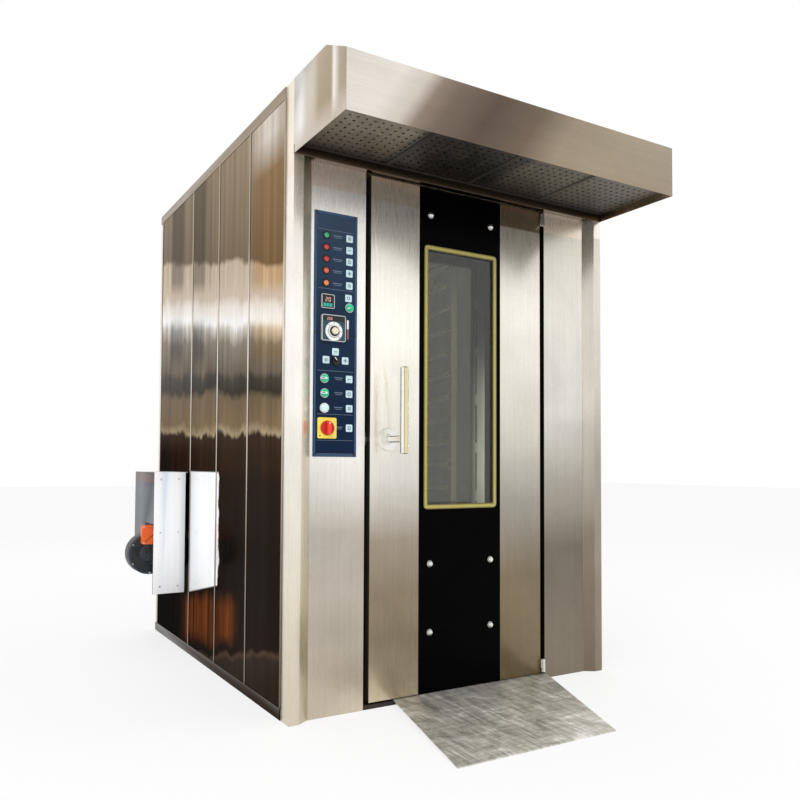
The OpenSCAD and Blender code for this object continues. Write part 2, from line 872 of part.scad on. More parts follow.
module steam_generator() {
    x0 = -liner_x + 20;
    x1 = -duct_x - 20;
    y0 = wall_back + 308;
    y1 = partition_y - 20;
    z0 = base_h + sheet_t;
    z1 = chamber_top - 1050;
    tray_count = 7;
    tray_step = (z1 - z0 - 77) / tray_count;
    color("dimgray") {
        for (y = [y0, y1 - 6])
            block([x0, y, z0], [x1, y + 6, z1]);
        for (i = [0 : tray_count - 1])
            translate([0, 0, z0 + 90 + tray_step * i])
                along_y(y0 + 6 + seat, y1 - 6 - seat)
                    polygon([[x0, 40], [x0, 0], [x1, 0], [x1, 40], [x1 - 4, 40], [x1 - 4, 4], [x0 + 4, 4],
                        [x0 + 4, 40]]);
        // Water pipe with its valve
        post(water_r, z1 - 60, body_h, water_at);
        post(thread_r, body_h, body_h + thread_l, water_at);
        difference() {
            block([water_at[0] - 30, water_at[1] - 25, deck_z],
                [water_at[0] + 30, water_at[1] + 25, deck_z + 80]);
            post(water_r, deck_z - 1, deck_z + 81, water_at);
        }
    }
}

// Wheel of blades between two discs, spinning about Z
module blade_wheel(r, h, blades) {
    cylinder(r = r, h = 3);
    difference() {
        translate([0, 0, h - 3])
            cylinder(r = r, h = 3);
        translate([0, 0, h - 4])
            cylinder(r = r * 0.6, h = 5);
    }
    for (i = [0 : blades - 1])
        rotate(360 * i / blades)
            translate([r * 0.62, 0, 2])
                rotate(35)
                    cube([r * 0.3, 2.5, h - 4]);
}

module circulation_fan() {
    wheel_r = 230;
    wheel_h = 110;
    z0 = header_top + 80;
    color("gray")
        translate([fan_at[0], fan_at[1], 0]) {
            translate([0, 0, z0 + wheel_h])
                mirror([0, 0, 1])
                    blade_wheel(wheel_r, wheel_h, 12);
            post(fan_shaft_r, z0, deck_z + 60);
            post(40, z0 + wheel_h, z0 + wheel_h + 30);
        }
}

module hood_fan() {
    color("gray")
        translate([0, hood_mid, 0]) {
            translate([0, 0, hood_motor_z - 10])
                mirror([0, 0, 1])
                    blade_wheel(hood_fan_r, 60, 10);
            post(spindle_r, hood_motor_z - 70, hood_motor_z + 30);
        }
}

// ---- Burner ----

module burner_cover() {
    cover_end = cover_y + cover_l;
    notch_top = burner_z + drum_r + 47;
    notch_end = burner_y + drum_l / 2 + 10;
    color("whitesmoke") {
        block([cover_x, cover_y, cover_bottom], [-half_w - 12, cover_y + sheet_t, cover_top - sheet_t]);
        block([cover_x, cover_y, cover_top - sheet_t], [-half_w, cover_end, cover_top]);
        along_x(cover_x, cover_x + sheet_t)
            polygon([[cover_y + sheet_t, cover_top - sheet_t], [cover_y + sheet_t, notch_top],
                [notch_end, notch_top], [notch_end, cover_notch], [cover_end, cover_notch],
                [cover_end, cover_top - sheet_t]]);
        block([cover_x + sheet_t, cover_end - sheet_t, cover_notch],
            [-half_w, cover_end, cover_top - sheet_t]);
    }
}

module burner_housing() {
    y0 = burner_y - drum_l / 2;
    y1 = burner_y + drum_l / 2;
    flange_x = -half_w - 8;
    color("black") {
        // Drum, open at its front and towards the flame tube
        difference() {
            rod_y(drum_r, drum_x, burner_z, y0, y1);
            rod_y(drum_r - 6, drum_x, burner_z, y0 + 5, y1 - 5);
            rod_y(46, drum_x, burner_z, y0 - 1, y0 + 6);
            rod_y(spindle_knob_r + bore_gap, drum_x, burner_z, y1 - 6, y1 + 1);
            rod_x(flame_r - 5, burner_y, burner_z, drum_x + 40, drum_x + drum_r + 1);
        }
        // Motor
        difference() {
            rod_y(55, drum_x, burner_z, y1 + seat, y1 + 80);
            rod_y(spindle_knob_r + bore_gap, drum_x, burner_z, y1, y1 + 60);
        }
        // Flame tube with its flange
        difference() {
            union() {
                rod_x(flame_r, burner_y, burner_z, drum_x + 40, firebox_x0 + 4);
                rod_x(flame_r + 25, burner_y, burner_z, flange_x, -half_w);
            }
            rod_x(flame_r - 5, burner_y, burner_z, drum_x + 39, firebox_x0 + 5);
            rod_y(drum_r + seat, drum_x, burner_z, y0 - 30, y1 + 30);
        }
    }
}

module burner_control_box() {
    y1 = burner_y - drum_l / 2;
    color("orangered")
        block([drum_x - 45, y1 - 38, burner_z + 48], [drum_x + 60, y1, burner_z + 139]);
}

module burner_fan() {
    y0 = burner_y - drum_l / 2 + 12;
    y1 = burner_y + drum_l / 2;
    color("gray") {
        translate([drum_x, y1 - 16, burner_z])
            rotate([90, 0, 0])
                blade_wheel(drum_r - 16, y1 - 16 - y0, 10);
        rod_y(spindle_knob_r, drum_x, burner_z, y0, y1 + 60);
    }
}

// ---- Controls ----

module control_plate() {
    color("midnightblue")
        translate([panel_x, 0, panel_z])
            along_y(panel_face, panel_back)
                difference() {
                    square([panel_w, panel_h]);
                    for (z = lamp_zs)
                        translate([lamp_x, z])
                            circle(switch_hole_r);
                    for (at = [mode_at, timer_sel_at, fan_sel_at, steam_sel_at, start_at, isolator_at])
                        translate(at)
                            circle(switch_hole_r);
                    translate(timer_at)
                        square(timer_w - 6, center = true);
                    translate(controller_at)
                        square(controller_w - 6, center = true);
                }
}

module control_box() {
    y0 = face_y + sheet_t;
    y1 = y0 + box_d;
    color("lightgray") {
        difference() {
            block([panel_x, y0, panel_z], [panel_x + panel_w, y1, panel_z + panel_h]);
            block([panel_x + 2, y0 - 1, panel_z + 2], [panel_x + panel_w - 2, y1 - 2, panel_z + panel_h - 2]);
        }
        // Switch bodies behind the round operators
        for (at = [mode_at, timer_sel_at, fan_sel_at, steam_sel_at, start_at, isolator_at])
            on_panel(at)
                difference() {
                    translate([0, 0, -panel_t - sheet_t - box_d + 2])
                        cylinder(r = switch_hole_r, h = box_d + sheet_t + panel_t - 2);
                    translate([0, 0, -40])
                        cylinder(r = spindle_knob_r + bore_gap, h = 50);
                }
    }
}

module icon_tiles() {
    color("aliceblue")
        for (at = tile_places)
            on_panel(at)
                translate([-tile_w / 2, -tile_w / 2, 0])
                    cube([tile_w, tile_w, 1]);
}

module pilot_lamps() {
    color("red")
        for (z = lamp_zs)
            on_panel([lamp_x, z])
                rotate_extrude()
                    polygon([[0, -50], [switch_hole_r, -50], [switch_hole_r, 0], [knob_r, 0], [knob_r, 3],
                        [knob_r - 3, 5], [8, 9], [0, 10]]);
}

module panel_instruments() {
    color("gainsboro") {
        on_panel(timer_at) {
            translate([-timer_w / 2, -timer_w / 2, 0])
                cube([timer_w, timer_w, 8]);
            translate([-timer_w / 2 + 3, -timer_w / 2 + 3, -50])
                cube([timer_w - 6, timer_w - 6, 50]);
        }
        on_panel(controller_at)
            difference() {
                union() {
                    translate([-controller_w / 2, -controller_w / 2, 0])
                        cube([controller_w, controller_w, 12]);
                    translate([-controller_w / 2 + 3, -controller_w / 2 + 3, -55])
                        cube([controller_w - 6, controller_w - 6, 55]);
                }
                translate([0, -dial_drop, -20])
                    cylinder(r = spindle_knob_r + bore_gap, h = 40);
            }
    }
}

module temperature_dial() {
    color("ivory")
        on_panel(controller_at)
            translate([0, -dial_drop, 12 + seat]) {
                cylinder(r = 23, h = 8);
                translate([0, 0, 8])
                    cylinder(r1 = 14, r2 = 12, h = 8);
                translate([0, 0, -30])
                    cylinder(r = spindle_knob_r, h = 31);
            }
}

module isolator_plate() {
    color("gold")
        on_panel(isolator_at)
            difference() {
                translate([-isolator_w / 2, -isolator_w / 2, 0])
                    cube([isolator_w, isolator_w, 4]);
                translate([0, 0, -1])
                    cylinder(r = spindle_knob_r + 1, h = 6);
            }
}

module isolator_knob() {
    color("red")
        on_panel(isolator_at)
            translate([0, 0, 4 + seat]) {
                cylinder(d = isolator_d, h = 8);
                translate([-7, -isolator_d / 2 + 2, 8])
                    cube([14, isolator_d - 4, 16]);
                translate([0, 0, -34])
                    cylinder(r = spindle_knob_r, h = 35);
            }
}

// Round switch head with a short lever at an angle
module lever_switch(at, lever_angle) {
    on_panel(at)
        translate([0, 0, seat]) {
            cylinder(r = knob_r, h = 9);
            translate([0, 0, 9])
                rotate(lever_angle)
                    translate([-5, -4, 0])
                        cube([knob_r + 10, 8, 8]);
            translate([0, 0, -30])
                cylinder(r = spindle_knob_r, h = 31);
        }
}

module mode_selector() {
    color("black")
        lever_switch(mode_at, 130);
}

module timer_selector() {
    color("mediumseagreen")
        lever_switch(timer_sel_at, 200);
}

module fan_selector() {
    color("mediumseagreen")
        lever_switch(fan_sel_at, 180);
}

module steam_selector() {
    color("mediumseagreen")
        lever_switch(steam_sel_at, 180);
}

module start_button() {
    color("white")
        on_panel(start_at)
            translate([0, 0, 4]) {
                cylinder(r = knob_r, h = 4);
                translate([0, 0, -24])
                    cylinder(r = spindle_knob_r, h = 25);
            }
}

// ---- Door ----

module hinge_pins() {
    pin_l = 40;
    color("silver")
        for (z = [door_bottom + eye_margin, door_top - eye_margin - eye_h], up = [z < handle_z]) {
            post(knuckle_r, z, z + eye_h, [hinge_x, hinge_y]);
            post(pin_r, up ? z + 1 : z - pin_l, up ? z + eye_h + pin_l : z + 1, [hinge_x, hinge_y]);
            block([hinge_x + 2, hinge_y, z], [hinge_x + 10, frame_y, z + eye_h]);
        }
}

module door_core() {
    y0 = face_y + facing_t;
    color("lightgray")
        difference() {
            union() {
                both_sides() {
                    block([-door_w / 2, y0, door_bottom], [-core_hole, leaf_back, door_top]);
                    block([-plug_half, leaf_back, plug_bottom], [-core_hole, wall_back, plug_top]);
                }
                block([-core_hole, y0, door_bottom], [core_hole, leaf_back, window_bottom + 1]);
                block([-core_hole, y0, window_top - 1], [core_hole, leaf_back, door_top]);
                block([-core_hole, leaf_back, plug_bottom], [core_hole, wall_back, window_bottom + 1]);
                block([-core_hole, leaf_back, window_top - 1], [core_hole, wall_back, plug_top]);
            }
            rod_y(spindle_r + bore_gap, handle_x, handle_z, y0 - 1, leaf_back - 6);
            block([-door_w / 2 - 1, tongue_y - tongue_t / 2 - seat, handle_z - tongue_h / 2 - seat],
                [-door_w / 2 + 20 + latch_travel, tongue_y + tongue_t / 2 + seat,
                    handle_z + tongue_h / 2 + seat]);
        }
}

module door_skins() {
    color("silver")
        difference() {
            both_sides()
                block([-door_w / 2, face_y, door_bottom], [-strip_glass_w / 2, face_y + facing_t, door_top]);
            rod_y(spindle_r + bore_gap, handle_x, handle_z, face_y - 1, face_y + facing_t + 1);
        }
}

module door_black_panel() {
    color("black")
        along_y(face_y, face_y + facing_t)
            difference() {
                translate([-strip_glass_w / 2, door_bottom])
                    square([strip_glass_w, door_top - door_bottom]);
                round_rect(-window_half, window_bottom, window_half, window_top, gasket_w);
            }
}

module window_gasket() {
    color("goldenrod")
        along_y(face_y - 3, face_y + facing_t)
            difference() {
                round_rect(-window_half, window_bottom, window_half, window_top, gasket_w);
                round_rect(-window_half + gasket_w, window_bottom + gasket_w, window_half - gasket_w,
                    window_top - gasket_w, 6);
            }
}

module window_glass() {
    y0 = face_y + facing_t;
    color("lightcyan", 0.4)
        for (y = [y0, wall_back - pane_t])
            block([-core_hole, y, window_bottom + 1], [core_hole, y + pane_t, window_top - 1]);
}

module door_seal() {
    outer = door_w / 2 - 10;
    inner = plug_half + 12;
    y1 = frame_y - seat;
    color("dimgray") {
        both_sides()
            block([-outer, leaf_back, plug_bottom], [-inner, y1, door_top - 10]);
        block([-inner, leaf_back, plug_top + 12], [inner, y1, door_top - 10]);
    }
}

module door_fittings() {
    color("silver") {
        for (x = [-cap_x, cap_x], z = cap_heights)
            translate([x, face_y, z])
                rotate([90, 0, 0])
                    rotate_extrude()
                        polygon([[0, 0], [cap_d / 2, 0], [cap_d / 2, 6], [cap_d / 2 - 2, 9], [5, 12],
                            [0, 12.5]]);
        difference() {
            rod_y(rosette_d / 2, handle_x, handle_z, face_y - 8, face_y);
            rod_y(spindle_r + bore_gap, handle_x, handle_z, face_y - 9, face_y + 1);
        }
        // Hinge eyes
        for (z = [door_bottom + eye_margin + eye_h + seat,
            door_top - eye_margin - eye_h - seat - knuckle_h])
            difference() {
                union() {
                    post(knuckle_r, z, z + knuckle_h, [hinge_x, hinge_y]);
                    block([door_w / 2, hinge_y - 4, z], [hinge_x, hinge_y + 8, z + knuckle_h]);
                }
                post(pin_r + bore_gap, z - 1, z + knuckle_h + 1, [hinge_x, hinge_y]);
            }
    }
}

module door_handle() {
    bar_y = face_y - handle_reach;
    stem_r = 13;
    chamfer = 3;
    color("goldenrod") {
        translate([handle_x, bar_y, handle_z - bar_below])
            rotate_extrude()
                polygon([[0, 0], [bar_d / 2 - chamfer, 0], [bar_d / 2, chamfer], [bar_d / 2, bar_l - chamfer],
                    [bar_d / 2 - chamfer, bar_l], [0, bar_l]]);
        rod_y(stem_r, handle_x, handle_z, bar_y, face_y - 8 - seat);
        rod_y(spindle_r, handle_x, handle_z, face_y - 9, leaf_back - 7);
    }
}

module latch_tongue() {
    color("silver")
        block([-door_w / 2 - latch_travel, tongue_y - tongue_t / 2, handle_z - tongue_h / 2],
            [-door_w / 2 + 19, tongue_y + tongue_t / 2, handle_z + tongue_h / 2]);
}

// ---- Turntable and rack ----

module turntable_disc() {
    color("gray")
        translate([0, axis_y, 0]) {
            post(disc_d / 2, disc_bottom, floor_z);
            post(hub_r, pit_floor + seat, disc_bottom);
            post(pivot_r, 2 + seat, disc_bottom);
        }
}

module drive_shaft() {
    fork_z = rack_top + 25;
    color("darkgray")
        translate([0, axis_y, 0]) {
            post(drive_r, fork_z, chain_z + 12);
            translate([0, 0, chain_z + 1])
                sprocket(driven_teeth, driven_r, sprocket_t);
            rotate([0, 0, rack_turn]) {
                block([-50, -30, fork_z - 10], [50, 30, fork_z]);
                for (y = [-tube_w / 2 - 9, tube_w / 2 + 1])
                    block([-50, y, rack_top - 15], [50, y + 8, fork_z - 10]);
            }
        }
}

// One side of the rack: two posts with a rail at each level
module rack_side() {
    x0 = -rack_w / 2;
    x1 = x0 + tube_w;
    half_d = rack_d / 2;
    rail_d = half_d - tube_w - seat;
    for (y = [-half_d, half_d - tube_w])
        block([x0, y, rack_base + rack_frame_h], [x1, y + tube_w, rack_top - tube_w]);
    // Angle rails between the posts, their ledges running on in front of them
    for (i = [0 : levels - 1])
        translate([0, 0, rail_z + level_pitch * i]) {
            block([x1 - 3, -rail_d, 0], [x1, rail_d, 22]);
            block([x1 - 3, -rail_d, 0], [x1 + 14, rail_d, 3]);
            block([x1 + seat, -half_d + 4, 0], [x1 + 14, half_d - 4, 3]);
        }
}

// Flat frame of square tube, with a cross bar in the middle
module rack_frame(z0, z1) {
    half_x = rack_w / 2;
    half_d = rack_d / 2;
    difference() {
        block([-half_x, -half_d, z0], [half_x, half_d, z1]);
        for (s = [0, 1])
            mirror([0, s, 0])
                block([-half_x + tube_w, tube_w / 2, z0 - 1], [half_x - tube_w, half_d - tube_w, z1 + 1]);
    }
}

module rack() {
    half_d = rack_d / 2;
    color("slategray")
        on_turntable() {
            both_sides()
                rack_side();
            rack_frame(rack_base, rack_base + rack_frame_h);
            rack_frame(rack_top - tube_w, rack_top);
            // Stop bars across the back
            for (i = [3, 8, 13])
                block([-rack_w / 2 + tube_w, half_d - 12, rail_z + level_pitch * i + 40],
                    [rack_w / 2 - tube_w, half_d - 4, rail_z + level_pitch * i + 48]);
            // Fixed forks of the rear casters
            for (x = [-caster_x, caster_x])
                translate([x, caster_y, 0])
                    caster_fork();
        }
}

// Caster fork: plate under the frame and two legs down to the axle
module caster_fork(offset_y = 0) {
    leg = wheel_w / 2 + 3;
    block([-30, -30, rack_base - 6], [30, 30, rack_base - seat]);
    for (s = [-1, 1])
        block([s * leg - fork_t / 2, offset_y - 12, wheel_z - 14],
            [s * leg + fork_t / 2, offset_y + 12, rack_base - 6]);
}

module caster_wheel(offset_y = 0) {
    translate([-wheel_w / 2 - 0.7, offset_y, wheel_z])
        rotate([0, 90, 0])
            cylinder(r = 8, h = wheel_w + 1.4);
    translate([-wheel_w / 2, offset_y, wheel_z])
        rotate([0, 90, 0])
            cylinder(d = wheel_d, h = wheel_w);
}

module front_left_caster() {
    color("silver")
        on_turntable()
            translate([-caster_x, -caster_y, 0])
                caster_fork(trail);
}

module front_right_caster() {
    color("silver")
        on_turntable()
            translate([caster_x, -caster_y, 0])
                caster_fork(trail);
}

module front_left_wheel() {
    color("black")
        on_turntable()
            translate([-caster_x, -caster_y, 0])
                caster_wheel(trail);
}

module front_right_wheel() {
    color("black")
        on_turntable()
            translate([caster_x, -caster_y, 0])
                caster_wheel(trail);
}

module rear_left_wheel() {
    color("black")
        on_turntable()
            translate([-caster_x, caster_y, 0])
                caster_wheel();
}

module rear_right_wheel() {
    color("black")
        on_turntable()
            translate([caster_x, caster_y, 0])
                caster_wheel();
}

// ---- Ramp ----

module ramp() {
    rise = atan((base_h + 0.5) / (ramp_reach + face_recess));
    left_x = -half_w + 290;
    sill = ramp_reach + face_recess;
    color("darkgray")
        translate([0, front_y - ramp_reach, 0])
            rotate([rise, 0, 0])
                linear_extrude(height = ramp_t)
                    polygon([[left_x, 0], [left_x + ramp_w, 0], [column_inner + 5, sill - 7],
                        [column_inner - 2, sill], [column_inner - 2, sill + face_recess],
                        [left_x + 156, sill + face_recess]]);
}

base_frame();
corner_posts();
casing_panels();
trim_strips();
insulation();
front_panels();
door_frame();
chamber_floor();
chamber_liner();
heater_walls();
interior_lamp();
hood_shell();
hood_filters();
vent_pipes();
combustion_chamber();
heat_exchanger();
motors();
drive_chain();
steam_generator();
burner_cover();
burner_housing();
burner_control_box();
control_plate();
control_box();
icon_tiles();
pilot_lamps();
panel_instruments();
isolator_plate();
hinge_pins();
door_core();
door_skins();
door_black_panel();
window_gasket();
window_glass();
door_seal();
door_fittings();
door_handle();
latch_tongue();
turntable_disc();
drive_shaft();
rack();
front_left_caster();
front_right_caster();
front_left_wheel();
front_right_wheel();
rear_left_wheel();
rear_right_wheel();
motor_sprocket();
circulation_fan();
hood_fan();
burner_fan();
steam_damper();
temperature_dial();
mode_selector();
timer_selector();
fan_selector();
steam_selector();
start_button();
isolator_knob();
ramp();
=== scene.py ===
import json
import math

import bmesh
import bpy
from mathutils import Matrix, Vector


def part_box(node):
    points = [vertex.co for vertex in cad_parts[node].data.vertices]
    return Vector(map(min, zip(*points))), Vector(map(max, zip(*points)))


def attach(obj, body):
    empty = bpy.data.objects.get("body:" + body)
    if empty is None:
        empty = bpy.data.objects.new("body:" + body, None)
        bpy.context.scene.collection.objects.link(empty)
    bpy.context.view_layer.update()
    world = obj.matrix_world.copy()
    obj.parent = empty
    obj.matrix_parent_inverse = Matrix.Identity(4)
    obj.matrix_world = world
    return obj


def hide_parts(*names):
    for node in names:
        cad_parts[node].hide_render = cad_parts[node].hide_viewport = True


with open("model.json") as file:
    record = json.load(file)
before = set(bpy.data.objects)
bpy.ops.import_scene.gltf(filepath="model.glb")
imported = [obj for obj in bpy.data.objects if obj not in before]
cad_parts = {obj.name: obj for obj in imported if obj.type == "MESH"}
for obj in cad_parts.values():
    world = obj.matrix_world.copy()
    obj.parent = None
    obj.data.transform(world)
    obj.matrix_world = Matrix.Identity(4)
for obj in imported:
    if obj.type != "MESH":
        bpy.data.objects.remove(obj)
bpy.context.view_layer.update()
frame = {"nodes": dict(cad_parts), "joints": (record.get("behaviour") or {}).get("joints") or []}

# ---- Places taken from the frame ----

MM = 0.001
Y, Z = Vector((0, 1, 0)), Vector((0, 0, 1))


def corners(node):
    """Lowest and highest corner of a node."""
    low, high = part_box(node)
    return Vector(low), Vector(high)


def middle(node):
    low, high = corners(node)
    return (low + high) / 2


def pivot(body):
    """Where the joint that carries a body stands."""
    return Vector(next(joint for joint in frame["joints"] if joint["child"] == body)["pos_m"])


def solid_boxes(node):
    """Boxes of the separate solids of a node, lowest first."""
    mesh = frame["nodes"][node].data
    keys = [tuple(round(c, 5) for c in v.co) for v in mesh.vertices]
    parent = {k: k for k in keys}

    def root(k):
        while parent[k] != k:
            parent[k] = parent[parent[k]]
            k = parent[k]
        return k

    for polygon in mesh.polygons:
        ends = [root(keys[i]) for i in polygon.vertices]
        for end in ends[1:]:
            parent[root(end)] = root(ends[0])
    groups = {}
    for k in keys:
        groups.setdefault(root(k), []).append(k)
    boxes = []
    for points in groups.values():
        low = Vector([min(p[i] for p in points) for i in range(3)])
        high = Vector([max(p[i] for p in points) for i in range(3)])
        boxes.append((low, high))
    return sorted(boxes, key=lambda b: (round(b[0].z, 3), round(b[0].x, 3), round(b[0].y, 3)))


# ---- Modelling by hand ----

def put_down():
    bpy.ops.object.select_all(action="DESELECT")


def take(obj):
    put_down()
    obj.select_set(True)
    bpy.context.view_layer.objects.active = obj


def settle(obj, name):
    """Names a new piece and puts its place into its mesh."""
    take(obj)
    bpy.ops.object.transform_apply(location=True, rotation=True, scale=True)
    obj.name = name
    obj.data.name = name
    return obj


def pick_faces(obj, wanted):
    """Selects the faces of an object in edit mode whose middle and normal pass the test."""
    bpy.ops.mesh.select_mode(type="FACE")
    bpy.ops.mesh.select_all(action="DESELECT")
    mesh = bmesh.from_edit_mesh(obj.data)
    mesh.normal_update()
    for face in mesh.faces:
        face.select_set(bool(wanted(face.calc_center_median(), face.normal)))
    mesh.select_flush_mode()
    bmesh.update_edit_mesh(obj.data)


def pick_edges(obj, wanted):
    """Selects the edges of an object in edit mode whose two ends pass the test."""
    bpy.ops.mesh.select_mode(type="EDGE")
    bpy.ops.mesh.select_all(action="DESELECT")
    mesh = bmesh.from_edit_mesh(obj.data)
    for edge in mesh.edges:
        edge.select_set(bool(wanted(edge.verts[0].co, edge.verts[1].co)))
    bmesh.update_edit_mesh(obj.data)


def push(vector):
    bpy.ops.mesh.extrude_region_move(TRANSFORM_OT_translate={"value": tuple(vector)})


def scale_about(point, factors):
    bpy.ops.transform.resize(value=tuple(factors), center_override=tuple(point))


def close_up(obj):
    """Welds the mesh in edit mode, turns its faces outwards and leaves edit mode."""
    bpy.ops.mesh.select_all(action="SELECT")
    bpy.ops.mesh.remove_doubles(threshold=0.00001)
    bpy.ops.mesh.normals_make_consistent(inside=False)
    bpy.ops.object.mode_set(mode="OBJECT")
    return obj


def smooth(obj, angle=35):
    take(obj)
    bpy.ops.object.shade_smooth_by_angle(angle=math.radians(angle))
    return obj


def rounded(obj, width, segments=2, angle=30):
    """Rounds the sharp edges with an applied bevel."""
    take(obj)
    bevel = obj.modifiers.new("Edges", "BEVEL")
    bevel.width = width
    bevel.segments = segments
    bevel.limit_method = "ANGLE"
    bevel.angle_limit = math.radians(angle)
    bevel.use_clamp_overlap = True
    bevel.harden_normals = False
    bpy.ops.object.modifier_apply(modifier=bevel.name)
    return smooth(obj)


def slab(name, low, high, edge, segments=2):
    """Block between two corners with rounded edges."""
    low, high = Vector(low), Vector(high)
    put_down()
    bpy.ops.mesh.primitive_cube_add(size=1, location=(low + high) / 2, scale=high - low)
    obj = settle(bpy.context.object, name)
    return rounded(obj, edge, segments)


def turned(name, foot, direction, radius, steps, sides=48, edge=0.0):
    """Lathe work: a disc at foot grown along direction by (advance, new radius) steps."""
    direction = Vector(direction).normalized()
    first_advance = steps[0][0]
    put_down()
    bpy.ops.mesh.primitive_cylinder_add(
        vertices=sides, radius=radius, depth=first_advance,
        location=Vector(foot) + direction * first_advance / 2,
        rotation=direction.to_track_quat("Z", "Y").to_euler())
    obj = settle(bpy.context.object, name)
    take(obj)
    bpy.ops.object.mode_set(mode="EDIT")
    at = Vector(foot) + direction * first_advance
    pick_faces(obj, lambda c, n: n.dot(direction) > 0.9)
    size = radius
    if steps[0][1] != size:
        ratio = steps[0][1] / size
        scale_about(at, (ratio,) * 3)
        size = steps[0][1]
    for advance, new_radius in steps[1:]:
        push(direction * advance)
        at = at + direction * advance
        ratio = new_radius / size
        if abs(ratio - 1) > 1e-6:
            scale_about(at, (ratio,) * 3)
        size = new_radius
    close_up(obj)
    if edge:
        rounded(obj, edge, 3)
    return smooth(obj)


def turned_about(obj, point, axis, angle):
    """Turns a finished piece about a point and puts the turn into its mesh."""
    point = Vector(point)
    turn = Matrix.Translation(point) @ Matrix.Rotation(angle, 4, axis) @ Matrix.Translation(-point)
    obj.matrix_world = turn @ obj.matrix_world
    return settle(obj, obj.name)


def joined(name, pieces):
    take(pieces[0])
    for piece in pieces:
        piece.select_set(True)
    if len(pieces) > 1:
        bpy.ops.object.join()
    return settle(bpy.context.object, name)


def carve(obj, cutter):
    """Cuts one piece out of another and removes the cutter."""
    take(obj)
    cut = obj.modifiers.new("Cut", "BOOLEAN")
    cut.operation = "DIFFERENCE"
    cut.solver = "EXACT"
    cut.object = cutter
    bpy.ops.object.modifier_apply(modifier=cut.name)
    bpy.data.objects.remove(cutter)
    return obj


def softened(node, width):
    """Welded copy of a node with its folded edges rounded."""
    obj = frame["nodes"][node].copy()
    obj.data = obj.data.copy()
    bpy.context.collection.objects.link(obj)
    settle(obj, node + "_shell")
    bpy.ops.object.mode_set(mode="EDIT")
    bpy.ops.mesh.select_all(action="SELECT")
    bpy.ops.mesh.remove_doubles(threshold=0.00002)
    bpy.ops.mesh.dissolve_limited(angle_limit=math.radians(1))
    bpy.ops.object.mode_set(mode="OBJECT")
    return rounded(obj, width)


# ---- Finishes ----

FINISHES = {}


def linear(value):
    value = value / 255
    return value / 12.92 if value <= 0.04045 else ((value + 0.055) / 1.055) ** 2.4


def shade(red, green, blue):
    return (linear(red), linear(green), linear(blue), 1)


def grey(level):
    return (level, level, level, 1)


def dimmed(colour, factor):
    return tuple(min(1, c * factor) for c in colour[:3]) + (1,)


def stop_colour(values):
    """Colour of a ramp's stop: one grey factor, three screen values, or a colour already mixed."""
    if len(values) == 3:
        return shade(*values)
    return values[0] if isinstance(values[0], tuple) else grey(values[0])


class Nodes:
    """A node tree and short ways to wire it."""

    def __init__(self, tree):
        self.tree = tree

    def node(self, kind, **values):
        made = self.tree.nodes.new(kind)
        for key, value in values.items():
            setattr(made, key, value)
        return made

    def wire(self, source, target):
        self.tree.links.new(source, target)

    def feed(self, socket, value):
        """Wires a value into a socket, or sets it there where it is a plain number or colour."""
        if isinstance(value, (int, float, tuple)):
            socket.default_value = value
        else:
            self.wire(value, socket)

    def maths(self, operation, first, second=0):
        made = self.node("ShaderNodeMath", operation=operation)
        for socket, value in zip(made.inputs, (first, second)):
            self.feed(socket, value)
        return made.outputs["Value"]

    def times(self, first, second):
        return self.maths("MULTIPLY", first, second)

    def plus(self, first, second):
        return self.maths("ADD", first, second)

    def minus(self, first, second):
        return self.maths("SUBTRACT", first, second)

    def absolute(self, value):
        return self.maths("ABSOLUTE", value)

    def mixed(self, factor, first, second, blend="MIX"):
        made = self.node("ShaderNodeMix", data_type="RGBA", blend_type=blend)
        sockets = [s for s in made.inputs if s.type == "RGBA"]
        self.feed(made.inputs["Factor"], factor)
        self.feed(sockets[0], first)
        self.feed(sockets[1], second)
        return next(s for s in made.outputs if s.type == "RGBA")

    def seen(self):
        """1 for rays from the camera, from a mirror or through glass, otherwise 0."""
        rays = self.node("ShaderNodeLightPath").outputs
        return self.maths("MAXIMUM", rays["Is Camera Ray"], self.maths(
            "MAXIMUM", rays["Is Glossy Ray"], rays["Is Transmission Ray"]))


